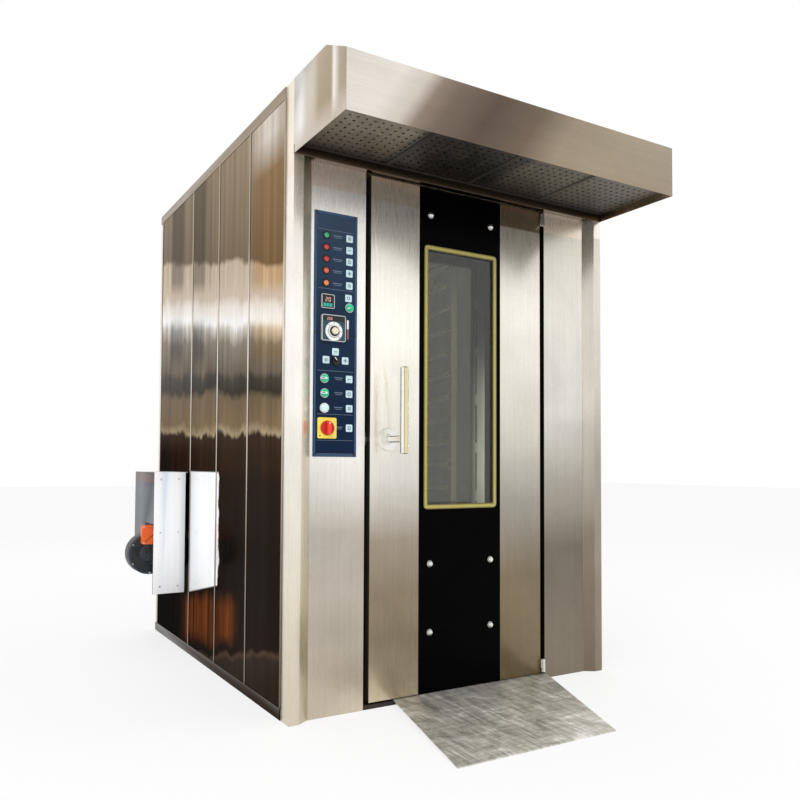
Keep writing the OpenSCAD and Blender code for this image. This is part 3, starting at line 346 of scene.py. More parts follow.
class Finish(Nodes):
    """A material being mixed: its shader and the patterns wired into it."""

    def __init__(self, name, colour, roughness=0.5, metallic=0.0, **shader):
        material = bpy.data.materials.new(name)
        material.use_nodes = True
        super().__init__(material.node_tree)
        self.shader = self.tree.nodes["Principled BSDF"]
        self.set("Base Color", colour)
        self.set("Roughness", roughness)
        self.set("Metallic", metallic)
        for socket, value in shader.items():
            self.set(socket.replace("_", " "), value)
        FINISHES[name] = material

    def set(self, socket, value):
        self.feed(self.shader.inputs[socket], value)

    def place(self, stretch=(1, 1, 1), shift=(0, 0, 0), turn=(0, 0, 0)):
        """Object coordinates, stretched, shifted and turned."""
        mapping = self.node("ShaderNodeMapping")
        mapping.inputs["Scale"].default_value = stretch
        mapping.inputs["Location"].default_value = shift
        mapping.inputs["Rotation"].default_value = turn
        self.wire(self.node("ShaderNodeTexCoord").outputs["Object"], mapping.inputs["Vector"])
        return mapping.outputs["Vector"]

    def spread(self):
        """The three object coordinates as separate values: across, along and up."""
        split = self.node("ShaderNodeSeparateXYZ")
        self.wire(self.place(), split.inputs["Vector"])
        return [split.outputs[axis] for axis in "XYZ"]

    def noise(self, scale, detail=2.0, roughness=0.5, distortion=0.0, **place):
        made = self.node("ShaderNodeTexNoise")
        for socket, value in (("Scale", scale), ("Detail", detail), ("Roughness", roughness),
                              ("Distortion", distortion), ("Vector", self.place(**place))):
            self.feed(made.inputs[socket], value)
        return made.outputs["Fac"]

    def ramp(self, value, stops, interpolation="EASE"):
        """Colours along a value from 0 to 1; each stop is its position and its colour."""
        made = self.node("ShaderNodeValToRGB")
        made.color_ramp.interpolation = interpolation
        elements = made.color_ramp.elements
        while len(elements) < len(stops):
            elements.new(0.5)
        for element, (position, *colour) in zip(elements, stops):
            element.position = position
            element.color = stop_colour(colour)
        self.wire(value, made.inputs["Fac"])
        return made.outputs["Color"]

    def span(self, value, low, high, out_low=0.0, out_high=1.0):
        made = self.node("ShaderNodeMapRange")
        for socket, limit in (("Value", value), ("From Min", low), ("From Max", high), ("To Min", out_low),
                              ("To Max", out_high)):
            self.feed(made.inputs[socket], limit)
        return made.outputs["Result"]

    def window(self, value, low, high, soft):
        """1 between low and high, fading to 0 over soft on either side."""
        rise = self.span(value, low - soft, low + soft)
        fall = self.span(value, high - soft, high + soft, 1.0, 0.0)
        return self.times(rise, fall)

    def banded(self, value, low, high, stops):
        """Tones along a value, each stop given as its value and its colour."""
        reach = high - low
        return self.ramp(self.span(value, low, high), [((at - low) / reach, *tone) for at, *tone in stops],
                         "LINEAR")

    def tinted(self, tone, by, factor=1.0):
        """A tone multiplied by another one."""
        return self.mixed(factor, tone, by, "MULTIPLY")

    def dappled(self, tone, pattern, dark, pale, low=0.3, high=0.7):
        """A tone that a pattern darkens and lightens."""
        return self.tinted(tone, self.ramp(pattern, [(low, dark), (high, pale)]))

    def colour(self, value):
        self.wire(value, self.shader.inputs["Base Color"])

    def worked(self, pattern, rough, strength, distance, bumps=None):
        """Roughness between two values from a pattern, and bump from it or from another one."""
        self.wire(self.span(pattern, 0.3, 0.7, *rough), self.shader.inputs["Roughness"])
        made = self.node("ShaderNodeBump")
        made.inputs["Strength"].default_value = strength
        made.inputs["Distance"].default_value = distance
        self.wire(bumps or pattern, made.inputs["Height"])
        self.wire(made.outputs["Normal"], self.shader.inputs["Normal"])


def brushed(steel, tone, grain, fine=600, contrast=0.16, rough=(0.22, 0.36), cloud=0.14):
    """Brush lines and faint clouds over a steel tone, wired into the shader."""
    lines = steel.noise(fine, 3, 0.65, stretch=grain)
    broad = steel.noise(fine / 7, 2, 0.6, stretch=grain)
    clouds = steel.noise(2.6, 3, 0.55, 0.3)
    tone = steel.dappled(tone, lines, 1 - contrast / 2, 1 + contrast / 2, 0.28, 0.72)
    tone = steel.dappled(tone, broad, 1 - contrast / 4, 1 + contrast / 4)
    steel.colour(steel.dappled(tone, clouds, 1 - cloud / 2, 1 + cloud / 2, 0.32, 0.68))
    steel.worked(lines, rough, 0.06, 0.0003)


# Brush lines run along the axis whose scale is small
UPRIGHT = (1, 1, 0.012)
LEVEL = (0.012, 1, 1)
# Height that the fronts' tones are spread over, and the fan of the side's painted reflection bands
TALL = 2.3
EYE_HEIGHT = 0.9065
BAND_FAN = 0.2336


def painted_side_reflections(steel, along, height, streak):
    """Painted reflections: dark brown at the foot, a streaky middle, a white band and warm grey above it."""
    patchy = steel.noise(1.0, 3, 0.6, 0.5, stretch=(1, 5, 3.5), shift=(0, 3.1, 0))
    wavy = steel.plus(height, steel.times(steel.minus(patchy, 0.5), 0.12))
    ragged = steel.plus(wavy, steel.times(steel.minus(streak, 0.5), 0.045))
    upper = steel.banded(wavy, 0.5, 1.7, [
        (0.5, 248, 246, 243), (0.645, 255, 254, 252), (0.72, 240, 233, 224), (0.76, 214, 198, 180),
        (0.90, 206, 188, 166), (0.925, 132, 113, 90), (1.15, 146, 128, 104), (1.4, 160, 142, 118),
        (1.7, 172, 156, 132)])
    streaky = steel.banded(ragged, -0.1, 0.8, [
        (-0.1, 46, 32, 22), (0.06, 58, 40, 27), (0.125, 66, 47, 33), (0.145, 176, 158, 128),
        (0.18, 138, 116, 88), (0.30, 124, 106, 82), (0.335, 62, 55, 47), (0.39, 78, 71, 62),
        (0.42, 116, 104, 89), (0.55, 150, 140, 127), (0.61, 214, 208, 200), (0.65, 252, 250, 247)])
    lower = steel.banded(wavy, -1.2, 0.0, [
        (-1.2, 40, 28, 20), (-1.0, 46, 33, 24), (-0.87, 56, 45, 35), (-0.85, 86, 66, 50),
        (-0.83, 34, 22, 14), (-0.50, 34, 24, 16), (-0.2, 40, 30, 22), (0.0, 46, 32, 22)])
    brown = steel.times(steel.window(along, -0.36, 0.40, 0.05), steel.window(wavy, -0.78, -0.60, 0.03))
    lower = steel.mixed(brown, lower, steel.ramp(streak, [(0.3, 70, 36, 12), (0.7, 128, 68, 24)]))
    tone = steel.mixed(steel.span(height, -0.07, -0.03), lower, streaky)
    return steel.mixed(steel.span(height, 0.62, 0.66), tone, upper)


def mirrored_cover(steel, across, along, up):
    """1 where the painted reflection of the burner's white cover lies in the sheet in front of it, ragged at
    its front.
    """
    wander = steel.times(steel.minus(steel.noise(1.0, 3, 0.5, stretch=(0, 0, 7)), 0.5), 0.13)
    patch = steel.times(steel.window(steel.plus(along, wander), -0.135, 0.4, 0.006),
                        steel.span(along, 0.302, 0.290))
    over = steel.minus(up, steel.plus(0.355, steel.times(along, -0.20)))
    patch = steel.times(patch, steel.times(steel.span(over, -0.004, 0.004), steel.span(up, 0.875, 0.868)))
    return steel.times(patch, steel.span(across, -0.74, -0.745))


def polished_side():
    """Polished side sheets: painted reflections in streaky bands that fan out from eye level towards the
    back.
    """
    steel = Finish("polished_side", shade(120, 100, 78), 0.2, 1.0)
    across, along, up = steel.spread()
    height = steel.maths("DIVIDE", steel.minus(up, EYE_HEIGHT), steel.plus(steel.times(along, BAND_FAN), 1.0))
    streak = steel.noise(1.0, 4, 0.65, 0.2, stretch=(1, 21, 0.55))
    fine = steel.noise(1.0, 3, 0.6, stretch=(1, 90, 0.8))
    tone = painted_side_reflections(steel, along, height, streak)
    # Painted reflections: darker uprights towards the back and a browner front sheet
    reflected_stripes = steel.banded(along, -0.9, 0.9, [
        (-0.9, (0.94, 0.78, 0.58, 1)), (-0.56, (0.95, 0.80, 0.60, 1)), (-0.50, 1), (-0.02, 0.97),
        (0.09, 0.80), (0.12, 0.50), (0.27, 0.48), (0.30, 1), (0.44, 0.98), (0.48, 0.52), (0.68, 0.50),
        (0.70, 0.96), (0.9, 1)])
    bright = steel.window(height, 0.635, 0.80, 0.03)
    striped = steel.times(steel.span(height, 0.42, 0.5), steel.minus(1.0, steel.times(bright, 0.85)))
    tone = steel.mixed(striped, tone, steel.tinted(tone, reflected_stripes))
    # Painted shade towards the back below the burner, and a painted pale glow at the top of the front sheet
    painted_shade_low_back = steel.times(steel.span(along, 0.32, 0.62), steel.span(height, -0.1, -0.3))
    tone = steel.mixed(painted_shade_low_back, tone, shade(18, 10, 4))
    glow = steel.times(steel.window(along, -0.80, -0.60, 0.16), steel.span(up, 2.02, 2.16))
    tone = steel.mixed(glow, tone, shade(248, 244, 238))
    tone = steel.mixed(steel.minus(1.0, bright), tone, steel.dappled(tone, streak, 0.82, 1.14))
    tone = steel.dappled(tone, fine, 0.9, 1.03)
    # The cover's painted reflection, glowing faintly, and the dark line of painted shade between it and the
    # real one
    patch = mirrored_cover(steel, across, along, up)
    tone = steel.mixed(patch, tone, steel.ramp(fine, [(0.3, 240, 242, 247), (0.6, 255, 255, 255)]))
    steel.set("Emission Color", steel.mixed(patch, grey(0), grey(0.26)))
    steel.set("Emission Strength", 1.0)
    mirrored_gap_shade = steel.times(steel.window(along, 0.300, 0.336, 0.003), steel.window(up, 0.30, 0.868, 0.004))
    tone = steel.mixed(steel.times(mirrored_gap_shade, steel.span(across, -0.74, -0.745)), tone, shade(12, 10, 10))
    # Back, roof and deck are plain brushed sheet
    plain_part = steel.maths("MAXIMUM", steel.span(along, 0.915, 0.92),
                             steel.span(steel.absolute(across), 0.7475, 0.7465))
    clouds = steel.noise(3, 3, 0.5, stretch=(1, 1, 0.4))
    tone = steel.mixed(plain_part, tone, steel.mixed(clouds, shade(150, 146, 138), shade(196, 193, 186)))
    steel.colour(tone)
    # Painted dark reflection bands keep their depth at a flat angle, most of all low at the rear
    edge_tone = steel.mixed(0.5, tone, grey(1))
    low_rear = steel.times(steel.span(along, -0.6, 0.8), steel.span(height, 0.3, 0.05))
    steel.set("Specular Tint", steel.mixed(low_rear, edge_tone, steel.tinted(edge_tone, grey(0.62))))
    steel.worked(fine, (0.12, 0.26), 0.10, 0.002, steel.noise(1.0, 2, 0.5, stretch=(3, 9, 2.2)))


def two_sided_front(name, left, right, shadow_low, shadow_left, shadow_right):
    """Front sheet with its own fall of painted light left and right of the door, and a painted shadow under
    the hood.
    """
    steel = Finish(name, shade(200, 194, 184), 0.3, 0.8)
    across, along, up = steel.spread()
    side = steel.span(across, -0.02, 0.02)
    tone = steel.mixed(side, steel.banded(up, 0, TALL, left), steel.banded(up, 0, TALL, right))
    tone = steel.mixed(steel.span(up, shadow_low - 0.004, shadow_low + 0.004), tone,
                       steel.mixed(side, shadow_left, shadow_right))
    brushed(steel, tone, UPRIGHT, contrast=0.11)


def corner_post_sheet():
    """Front posts: flat faces and paler bevels in painted light, darker on the right, and a painted highlight
    under the hood.
    """
    steel = Finish("corner_post_sheet", shade(210, 204, 194), 0.3, 0.8)
    across, along, up = steel.spread()
    side = steel.span(across, -0.02, 0.02)
    face_left = steel.banded(up, 0, TALL, [
        (0.0, 218, 208, 186), (0.4, 222, 213, 194), (0.9, 244, 239, 229), (1.4, 252, 247, 240),
        (1.9, 248, 241, 232)])
    face_right = steel.banded(up, 0, TALL, [
        (0.0, 136, 122, 104), (0.35, 146, 133, 115), (0.9, 168, 161, 150), (1.35, 214, 207, 196),
        (1.9, 220, 213, 202)])
    bevel_left = steel.banded(up, 0, TALL, [
        (0.0, 196, 188, 162), (0.5, 208, 200, 174), (1.1, 236, 229, 208), (1.6, 238, 232, 212),
        (1.86, 206, 198, 176), (1.98, 150, 142, 122), (2.3, 120, 112, 94)])
    bevel_right = steel.banded(up, 0, TALL, [
        (0.0, 120, 108, 92), (0.6, 140, 129, 114), (1.2, 214, 207, 197), (1.9, 212, 204, 192)])
    front = steel.span(along, -0.85, -0.87)
    bevel = steel.times(steel.window(steel.absolute(across), 0.668, 0.7085, 0.0015), front)
    tone = steel.mixed(bevel, steel.mixed(side, face_left, face_right),
                       steel.mixed(side, bevel_left, bevel_right))
    painted_light_under_hood = steel.times(steel.times(steel.span(up, 1.930, 1.938), steel.minus(1.0, bevel)), front)
    tone = steel.mixed(painted_light_under_hood, tone, steel.mixed(side, shade(244, 232, 214), shade(252, 243, 230)))
    brushed(steel, tone, UPRIGHT, contrast=0.10)


def hood_sheet():
    """Hood sheets: level brush lines; painted light, pale at the front's left and dark in its middle, paler
    to the left on the top, and in soft upright bands on the cheeks.
    """
    steel = Finish("hood_sheet", shade(180, 168, 152), 0.28, 1.0)
    across, along, up = steel.spread()
    slanted = steel.minus(across, steel.times(steel.minus(up, 2.11), 0.7))
    front = steel.banded(slanted, -0.9, 0.9, [
        (-0.9, 219, 211, 203), (-0.60, 230, 223, 214), (-0.50, 210, 201, 189), (-0.44, 146, 131, 118),
        (-0.36, 122, 107, 95), (-0.2, 100, 86, 76), (0.0, 118, 103, 89), (0.16, 160, 145, 125),
        (0.35, 166, 152, 130), (0.9, 164, 149, 128)])
    slope = steel.banded(across, -0.75, 0.75, [
        (-0.75, 212, 201, 188), (-0.4, 198, 186, 170), (0.2, 190, 176, 158), (0.75, 186, 172, 152)])
    tone = steel.mixed(steel.span(up, 2.209, 2.213), front, slope)
    cheek = steel.banded(along, -1.33, -0.92, [
        (-1.33, 172, 158, 136), (-1.285, 182, 167, 146), (-1.27, 208, 198, 184), (-1.245, 244, 241, 236),
        (-1.225, 172, 153, 126), (-1.13, 174, 155, 127), (-1.09, 202, 188, 170), (-1.03, 210, 200, 187),
        (-0.985, 246, 243, 239), (-0.93, 238, 231, 222), (-0.92, 222, 211, 196)])
    cheek = steel.mixed(steel.span(up, 2.02, 2.10), shade(206, 195, 180), cheek)
    tone = steel.mixed(steel.span(steel.absolute(across), 0.7485, 0.7492), tone, cheek)
    # Painted shade low on the hood's back edge
    rim = steel.times(steel.span(up, 2.043, 2.0425), steel.span(along, -0.935, -0.930))
    tone = steel.mixed(rim, tone, shade(98, 82, 68))
    brushed(steel, tone, LEVEL, 520, 0.10, (0.2, 0.34), 0.10)


def strip_sheet():
    """Folded cover strips: pale lines that darken towards the floor in painted shade."""
    steel = Finish("strip_sheet", shade(190, 180, 168), 0.3, 1.0)
    across, along, up = steel.spread()
    tone = steel.banded(up, 0, TALL, [
        (0.0, 46, 36, 28), (0.043, 60, 47, 37), (0.05, 112, 98, 84), (0.6, 136, 122, 108),
        (0.95, 184, 172, 160), (1.3, 226, 221, 214), (1.6, 216, 206, 190), (1.8, 166, 150, 126),
        (2.23, 170, 154, 130), (2.245, 150, 134, 112)])
    brushed(steel, tone, UPRIGHT, 500, 0.12)


def plain(name, colour, roughness, metallic=0.0, scale=60, amount=0.12, bump=0.05, **shader):
    """One-colour finish with fine mottling in colour, roughness and bump."""
    paint = Finish(name, colour, roughness, metallic, **shader)
    mottle = paint.noise(scale, 4, 0.6)
    wide = paint.noise(scale / 9, 2, 0.5)
    dark, pale = dimmed(colour, 1 - amount), dimmed(colour, 1 + amount)
    tone = paint.mixed(0.5, paint.ramp(mottle, [(0.3, dark), (0.7, pale)]),
                       paint.ramp(wide, [(0.3, dark), (0.7, pale)]))
    paint.colour(tone)
    paint.worked(mottle, (max(0.02, roughness - 0.05), min(1, roughness + 0.08)), bump, 0.0005)


def brushed_plain(name, colour, grain=UPRIGHT, roughness=0.3, contrast=0.16):
    steel = Finish(name, colour, roughness, 1.0)
    brushed(steel, colour, grain, 420, contrast, (roughness - 0.06, roughness + 0.08))


def scuffed(name, colour, worn, roughness, metallic, scale=9, depth=0.5):
    """Plate worn by wheels and feet: blotches, drag lines and scratches."""
    plate = Finish(name, colour, roughness, metallic)
    blotch = plate.noise(scale, 6, 0.68, 0.6)
    drag = plate.noise(26, 5, 0.7, 0.4, stretch=(2.6, 0.22, 1), turn=(0, 0, 0.35))
    cross = plate.noise(30, 4, 0.7, 0.2, stretch=(0.25, 2.4, 1), turn=(0, 0, -0.5), shift=(2, 0, 0))
    tone = plate.ramp(blotch, [(0.33, dimmed(colour, 1 - depth)), (0.5, colour), (0.68, worn)])
    tone = plate.tinted(tone, plate.ramp(drag, [(0.38, 0.66), (0.5, 1), (0.66, 1.22)]), 0.8)
    plate.colour(plate.tinted(tone, plate.ramp(cross, [(0.40, 0.74), (0.54, 1), (0.7, 1.2)]), 0.6))
    plate.worked(drag, (roughness - 0.12, roughness + 0.15), 0.35, 0.0006)


HANDLE_X = middle("door_handle").x
STEM_Z = pivot("handle").z


def handle_metal():
    """Polished bar with painted reflections: a dark line at its back left, a white middle and brass on its
    right.
    """
    bar = Finish("handle_metal", shade(240, 236, 222), 0.12, 1.0)
    across, along, up = bar.spread()
    painted_bar_reflections = bar.banded(across, HANDLE_X - 0.0172, HANDLE_X + 0.0172, [
        (HANDLE_X - 0.0172, 60, 56, 44), (HANDLE_X - 0.0166, 84, 80, 62),
        (HANDLE_X - 0.0158, 250, 248, 244), (HANDLE_X - 0.0096, 255, 254, 252),
        (HANDLE_X - 0.0080, 150, 140, 92), (HANDLE_X - 0.0060, 226, 218, 164),
        (HANDLE_X + 0.0060, 234, 228, 180), (HANDLE_X + 0.0140, 168, 156, 104)])
    fine = bar.noise(300, 3, 0.6, stretch=(1, 1, 0.05))
    bar.colour(bar.dappled(painted_bar_reflections, fine, 0.92, 1.02))
    bar.worked(fine, (0.08, 0.18), 0.03, 0.0002)


def stem_metal():
    """Round stem with painted light: white along its middle, dark lines of shade along its top and bottom."""
    metal = Finish("stem_metal", shade(246, 243, 236), 0.16, 1.0)
    across, along, up = metal.spread()
    tone = metal.banded(up, STEM_Z - 0.013, STEM_Z + 0.013, [
        (STEM_Z - 0.013, 40, 34, 28), (STEM_Z - 0.0100, 70, 62, 52), (STEM_Z - 0.0078, 250, 248, 243),
        (STEM_Z + 0.0078, 255, 254, 250), (STEM_Z + 0.0100, 74, 66, 56), (STEM_Z + 0.013, 46, 40, 34)])
    tone = metal.mixed(metal.span(along, -0.914, -0.912), tone, shade(236, 233, 226))
    fine = metal.noise(300, 3, 0.6, stretch=(1, 0.05, 1))
    metal.colour(metal.dappled(tone, fine, 0.93, 1.04))
    metal.worked(fine, (0.12, 0.22), 0.03, 0.0002)


def gasket_rubber():
    """Gold rubber frame with painted light along its middle and painted shade towards both edges."""
    rubber = Finish("gold_gasket", shade(180, 168, 84), 0.42)
    low, high = corners("window_gasket")
    across, along, up = rubber.spread()
    off_middle = rubber.absolute(rubber.minus(up, (low.z + high.z) / 2))
    inward = rubber.maths("MAXIMUM", rubber.minus(rubber.absolute(across), high.x),
                          rubber.minus(off_middle, (high.z - low.z) / 2))
    tone = rubber.banded(inward, -0.020, 0.0, [
        (-0.020, 70, 62, 36), (-0.017, 104, 94, 50), (-0.013, 172, 160, 78),
        (-0.007, 180, 168, 84), (-0.003, 128, 116, 58), (0.0, 84, 72, 40)])
    mottle = rubber.noise(120, 4, 0.6)
    rubber.colour(rubber.dappled(tone, mottle, 0.88, 1.1))
    rubber.worked(mottle, (0.36, 0.5), 0.1, 0.0005)


RACK_TURN = math.radians(12)


def rack_metal():
    """Dull posts, and tray rails paler than them."""
    steel = Finish("rack_steel", shade(120, 118, 100), 0.34, 0.9)
    rails = [box for box in solid_boxes("rack") if box[1].z - box[0].z < 0.03 and box[1].y - box[0].y > 0.4]
    foot = min(box[0].z for box in rails)
    levels = sorted({round(box[0].z, 3) for box in rails})
    pitch = (levels[-1] - levels[0]) / (len(levels) - 1)
    depth = (rails[0][1].z - rails[0][0].z) / pitch
    across, along, up = steel.spread()
    step = steel.maths("FRACT", steel.maths("DIVIDE", steel.minus(up, foot - 0.001), pitch))
    lengthwise = steel.plus(steel.times(across, math.sin(RACK_TURN)),
                            steel.times(steel.minus(along, middle("rack").y), math.cos(RACK_TURN)))
    between = steel.span(steel.absolute(lengthwise), 0.282, 0.276)
    on_rail = steel.times(between, steel.window(step, 0.0, depth + 0.02, 0.004))
    tone = steel.mixed(on_rail, shade(70, 68, 52), shade(232, 232, 210))
    brushed(steel, tone, UPRIGHT, 420, 0.2, (0.28, 0.44))


def liner_sheet():
    """Chamber walls: olive and dull, the right-hand wall brightened near the door by painted light."""
    steel = Finish("liner_sheet", shade(96, 98, 78), 0.42, 0.8)
    across, along, up = steel.spread()
    wall = steel.span(across, 0.395, 0.405)
    bright = steel.mixed(steel.span(up, 1.5, 1.0), shade(150, 158, 150), shade(226, 228, 218))
    near = steel.window(along, -0.9, -0.42, 0.03)
    tone = steel.mixed(steel.times(wall, near), shade(74, 76, 58), bright)
    brushed(steel, tone, UPRIGHT, 300, 0.22, (0.34, 0.5), 0.24)


def navy_film():
    """Printed film: lighter blue towards its top, faint grid of the print screen."""
    film = Finish("navy_film", shade(24, 33, 52), 0.42, Specular_IOR_Level=0.1)
    across, along, up = film.spread()
    tone = film.banded(up, 0.93, 1.84, [
        (0.93, 12, 32, 60), (1.1, 14, 34, 58), (1.4, 26, 44, 66), (1.7, 42, 58, 78), (1.84, 54, 70, 90)])
    weave = film.noise(900, 2, 0.5)
    film.colour(film.dappled(tone, weave, 0.86, 1.12))
    film.worked(weave, (0.34, 0.5), 0.05, 0.0002)


def cover_enamel():
    """White cover with bluish upright streaks; its outer side is painted shade, dark grey-blue with dark
    brown at the top.
    """
    enamel = Finish("cover_enamel", shade(244, 246, 249), 0.3)
    streak = enamel.noise(1.0, 3, 0.6, stretch=(26, 26, 0.8))
    speck = enamel.noise(240, 2, 0.5)
    tone = enamel.ramp(streak, [(0.36, 226, 233, 244), (0.5, 246, 249, 253), (0.6, 255, 255, 255)])
    across, along, up = enamel.spread()
    low, high = corners("burner_cover")
    # Painted shade on the outer side: dark grey-blue, dark brown at the top
    outer = enamel.span(across, low.x + 0.0016, low.x + 0.0011)
    sheet = enamel.banded(up, low.z, high.z, [
        (low.z, 30, 32, 40), (high.z - 0.10, 48, 54, 70), (high.z - 0.05, 40, 40, 50),
        (high.z - 0.045, 78, 40, 30), (high.z, 66, 36, 28)])
    enamel.colour(enamel.mixed(outer, tone, sheet))
    enamel.worked(speck, (0.25, 0.36), 0.12, 0.002, streak)


def perforated_sheet():
    """Grey-brown perforated panels with painted light and shade: darker towards the body, dark in the middle
    and pale at the left.
    """
    steel = Finish("perforated_sheet", shade(96, 88, 76), 0.5, 0.25)
    across, along, up = steel.spread()
    tone = steel.banded(along, -1.33, -0.92, [
        (-1.33, 108, 100, 90), (-1.2, 98, 90, 78), (-1.08, 70, 62, 50), (-0.98, 40, 33, 26),
        (-0.92, 30, 24, 18)])
    grime = steel.noise(16, 5, 0.65, 0.4)
    # Painted light at the left end and painted shade in the middle
    tone = steel.tinted(tone, steel.banded(across, -0.75, 0.75, [
        (-0.75, 1.7), (-0.43, 1.6), (-0.39, 0.3), (0.05, 0.14), (0.10, 0.85), (0.75, 1.0)]))
    steel.colour(steel.dappled(tone, grime, 0.72, 1.15))
    steel.worked(grime, (0.42, 0.6), 0.1, 0.0008)


def warm_fibre(name, colour, scale=70):
    """Felted mineral fibre: tangled short hairs."""
    wool = Finish(name, colour, 0.95, 0.0)
    strands = wool.noise(scale, 8, 0.75, 2.5)
    clump = wool.noise(scale / 8, 3, 0.6, 0.8)
    dark, pale = dimmed(colour, 0.62), dimmed(colour, 1.2)
    wool.colour(wool.mixed(0.4, wool.ramp(strands, [(0.32, dark), (0.66, pale)]),
                           wool.ramp(clump, [(0.3, dark), (0.7, pale)])))
    wool.worked(strands, (0.85, 1.0), 0.6, 0.003)


def heat_stained(name, cold, hot, roughness=0.55):
    """Heat-blued and rusted steel."""
    steel = Finish(name, cold, roughness, 0.6)
    stain = steel.noise(6, 6, 0.66, 0.9)
    fine = steel.noise(90, 4, 0.6)
    steel.colour(steel.mixed(0.35, steel.ramp(stain, [(0.32, cold), (0.5, hot), (0.68, cold)]),
                             steel.ramp(fine, [(0.3, 0.06), (0.7, hot)])))
    steel.worked(fine, (roughness - 0.1, roughness + 0.2), 0.25, 0.001)


def pane(name, tint, roughness=0.0):
    """Clear glass with a trace of wiping marks."""
    glass = Finish(name, tint, roughness, 0.0, Transmission_Weight=1.0, IOR=1.45)
    wiped = glass.noise(7, 4, 0.6, 0.8, stretch=(1, 1, 0.5))
    glass.set("Roughness", glass.span(wiped, 0.45, 0.8, 0.0, 0.05))
    glass.colour(glass.ramp(wiped, [(0.3, tint), (0.8, dimmed(tint, 0.97))]))


def lens(name, colour, glow):
    """Moulded lamp lens with fine ribs and a soft glow of its own."""
    dome = Finish(name, colour, 0.18, 0.0, Coat_Weight=0.6, Coat_Roughness=0.08)
    ribs = dome.noise(700, 2, 0.5)
    dome.colour(dome.ramp(ribs, [(0.35, dimmed(colour, 0.55)), (0.65, colour)]))
    dome.worked(ribs, (0.12, 0.26), 0.2, 0.0004)
    dome.set("Emission Color", colour)
    dome.set("Emission Strength", glow)


polished_side()
# Painted light by height on the columns and the door, then the line and tones of the painted shade under the
# hood
two_sided_front(
    "column_sheet",
    [(0.0, 204, 192, 172), (0.3, 182, 172, 158), (0.66, 186, 178, 167), (0.92, 240, 237, 231),
     (1.6, 250, 247, 242), (1.95, 246, 242, 236)],
    [(0.0, 128, 118, 102), (0.55, 120, 112, 100), (0.85, 168, 162, 152), (1.15, 218, 215, 207),
     (1.6, 226, 222, 213), (1.95, 222, 216, 204)],
    1.925, shade(240, 226, 212), shade(248, 234, 214))
two_sided_front(
    "door_sheet",
    [(0.0, 208, 192, 166), (0.25, 156, 142, 118), (0.42, 142, 128, 106), (0.62, 160, 149, 132),
     (0.86, 226, 222, 214), (1.1, 248, 243, 232), (1.5, 253, 248, 238), (1.9, 250, 244, 232)],
    [(0.0, 122, 106, 80), (0.45, 130, 116, 92), (0.75, 156, 151, 142), (1.0, 202, 197, 185),
     (1.3, 238, 233, 222), (1.6, 242, 237, 227), (1.9, 230, 223, 210)],
    1.915, shade(246, 230, 208), shade(150, 132, 108))
for mix in (corner_post_sheet, hood_sheet, strip_sheet, stem_metal, liner_sheet, handle_metal, navy_film,
            cover_enamel, perforated_sheet, gasket_rubber, rack_metal):
    mix()
warm_fibre("mineral_wool", shade(196, 178, 112))
heat_stained("heat_steel", shade(96, 72, 56), shade(134, 82, 48))
pane("pane_glass", shade(246, 247, 238))
pane("lamp_glass", shade(250, 246, 226), 0.1)
plain("black_panel", shade(3, 3, 4), 0.2, amount=0.3, bump=0.01, Specular_IOR_Level=0.02)
brushed_plain("rosette_steel", shade(246, 244, 238), LEVEL, 0.36, 0.06)
brushed_plain("bright_steel", shade(222, 221, 217), LEVEL, 0.16, 0.10)
plain("door_edge", shade(58, 54, 48), 0.6, 0.4)
brushed_plain("chamber_sheet", shade(92, 95, 76), UPRIGHT, 0.42, 0.2)
plain("galvanised", shade(164, 166, 168), 0.42, 0.85, scale=38, amount=0.2, bump=0.08)
plain("base_steel", shade(52, 46, 40), 0.55, 0.5, scale=45, amount=0.25)
plain("machine_paint", shade(52, 78, 92), 0.4, scale=110, bump=0.12)
plain("chain_steel", shade(44, 40, 36), 0.38, 0.8, scale=160, amount=0.3)
plain("burner_black", shade(22, 24, 30), 0.42, scale=140, amount=0.25, bump=0.2)
plain("burner_grey", shade(52, 60, 74), 0.45, scale=120, amount=0.2, bump=0.15)
plain("burner_orange", shade(240, 104, 40), 0.38, scale=150, amount=0.1, bump=0.08)
scuffed("ramp_plate", shade(206, 203, 192), shade(244, 242, 234), 0.46, 0.5, depth=0.36)
plain("black_rubber", shade(34, 33, 32), 0.78, scale=200, amount=0.25, bump=0.25)
plain("grey_alloy", shade(150, 150, 150), 0.4, 0.8, scale=130, amount=0.14, bump=0.12)
plain("navy_border", shade(56, 80, 110), 0.42, scale=400, bump=0.02, Specular_IOR_Level=0.15)
plain("film_line", shade(112, 124, 140), 0.5, scale=500, amount=0.15, bump=0.02, Specular_IOR_Level=0.15)
plain("pale_tile", shade(196, 220, 228), 0.4, scale=300, amount=0.1, bump=0.03)
plain("tile_mark", shade(54, 66, 88), 0.5, scale=300, amount=0.1, bump=0.02)
lens("green_lens", shade(30, 170, 110), 0.2)
lens("red_lens", shade(204, 30, 22), 0.2)
lens("amber_lens", shade(226, 84, 28), 0.25)
lens("orange_lens", shade(236, 128, 52), 0.25)
plain("instrument_silver", shade(206, 206, 204), 0.34, 0.3, scale=260, amount=0.08)
plain("instrument_dark", shade(10, 10, 12), 0.14, scale=260, amount=0.2, bump=0.01)
plain("instrument_teal", shade(30, 66, 82), 0.4, scale=260, amount=0.14)
plain("key_teal", shade(36, 166, 146), 0.4, scale=260)
plain("print_white", shade(240, 240, 238), 0.45, scale=300, amount=0.06, bump=0.02)
lens("digit_pink", shade(222, 168, 156), 0.7)
plain("strip_red", shade(150, 84, 88), 0.45, scale=300, amount=0.1)
plain("ivory_knob", shade(226, 214, 192), 0.4, scale=200, amount=0.08)
plain("black_knob", shade(16, 16, 17), 0.34, scale=220, amount=0.2, bump=0.08)
plain("green_knob", shade(46, 196, 142), 0.3, scale=220, amount=0.1)
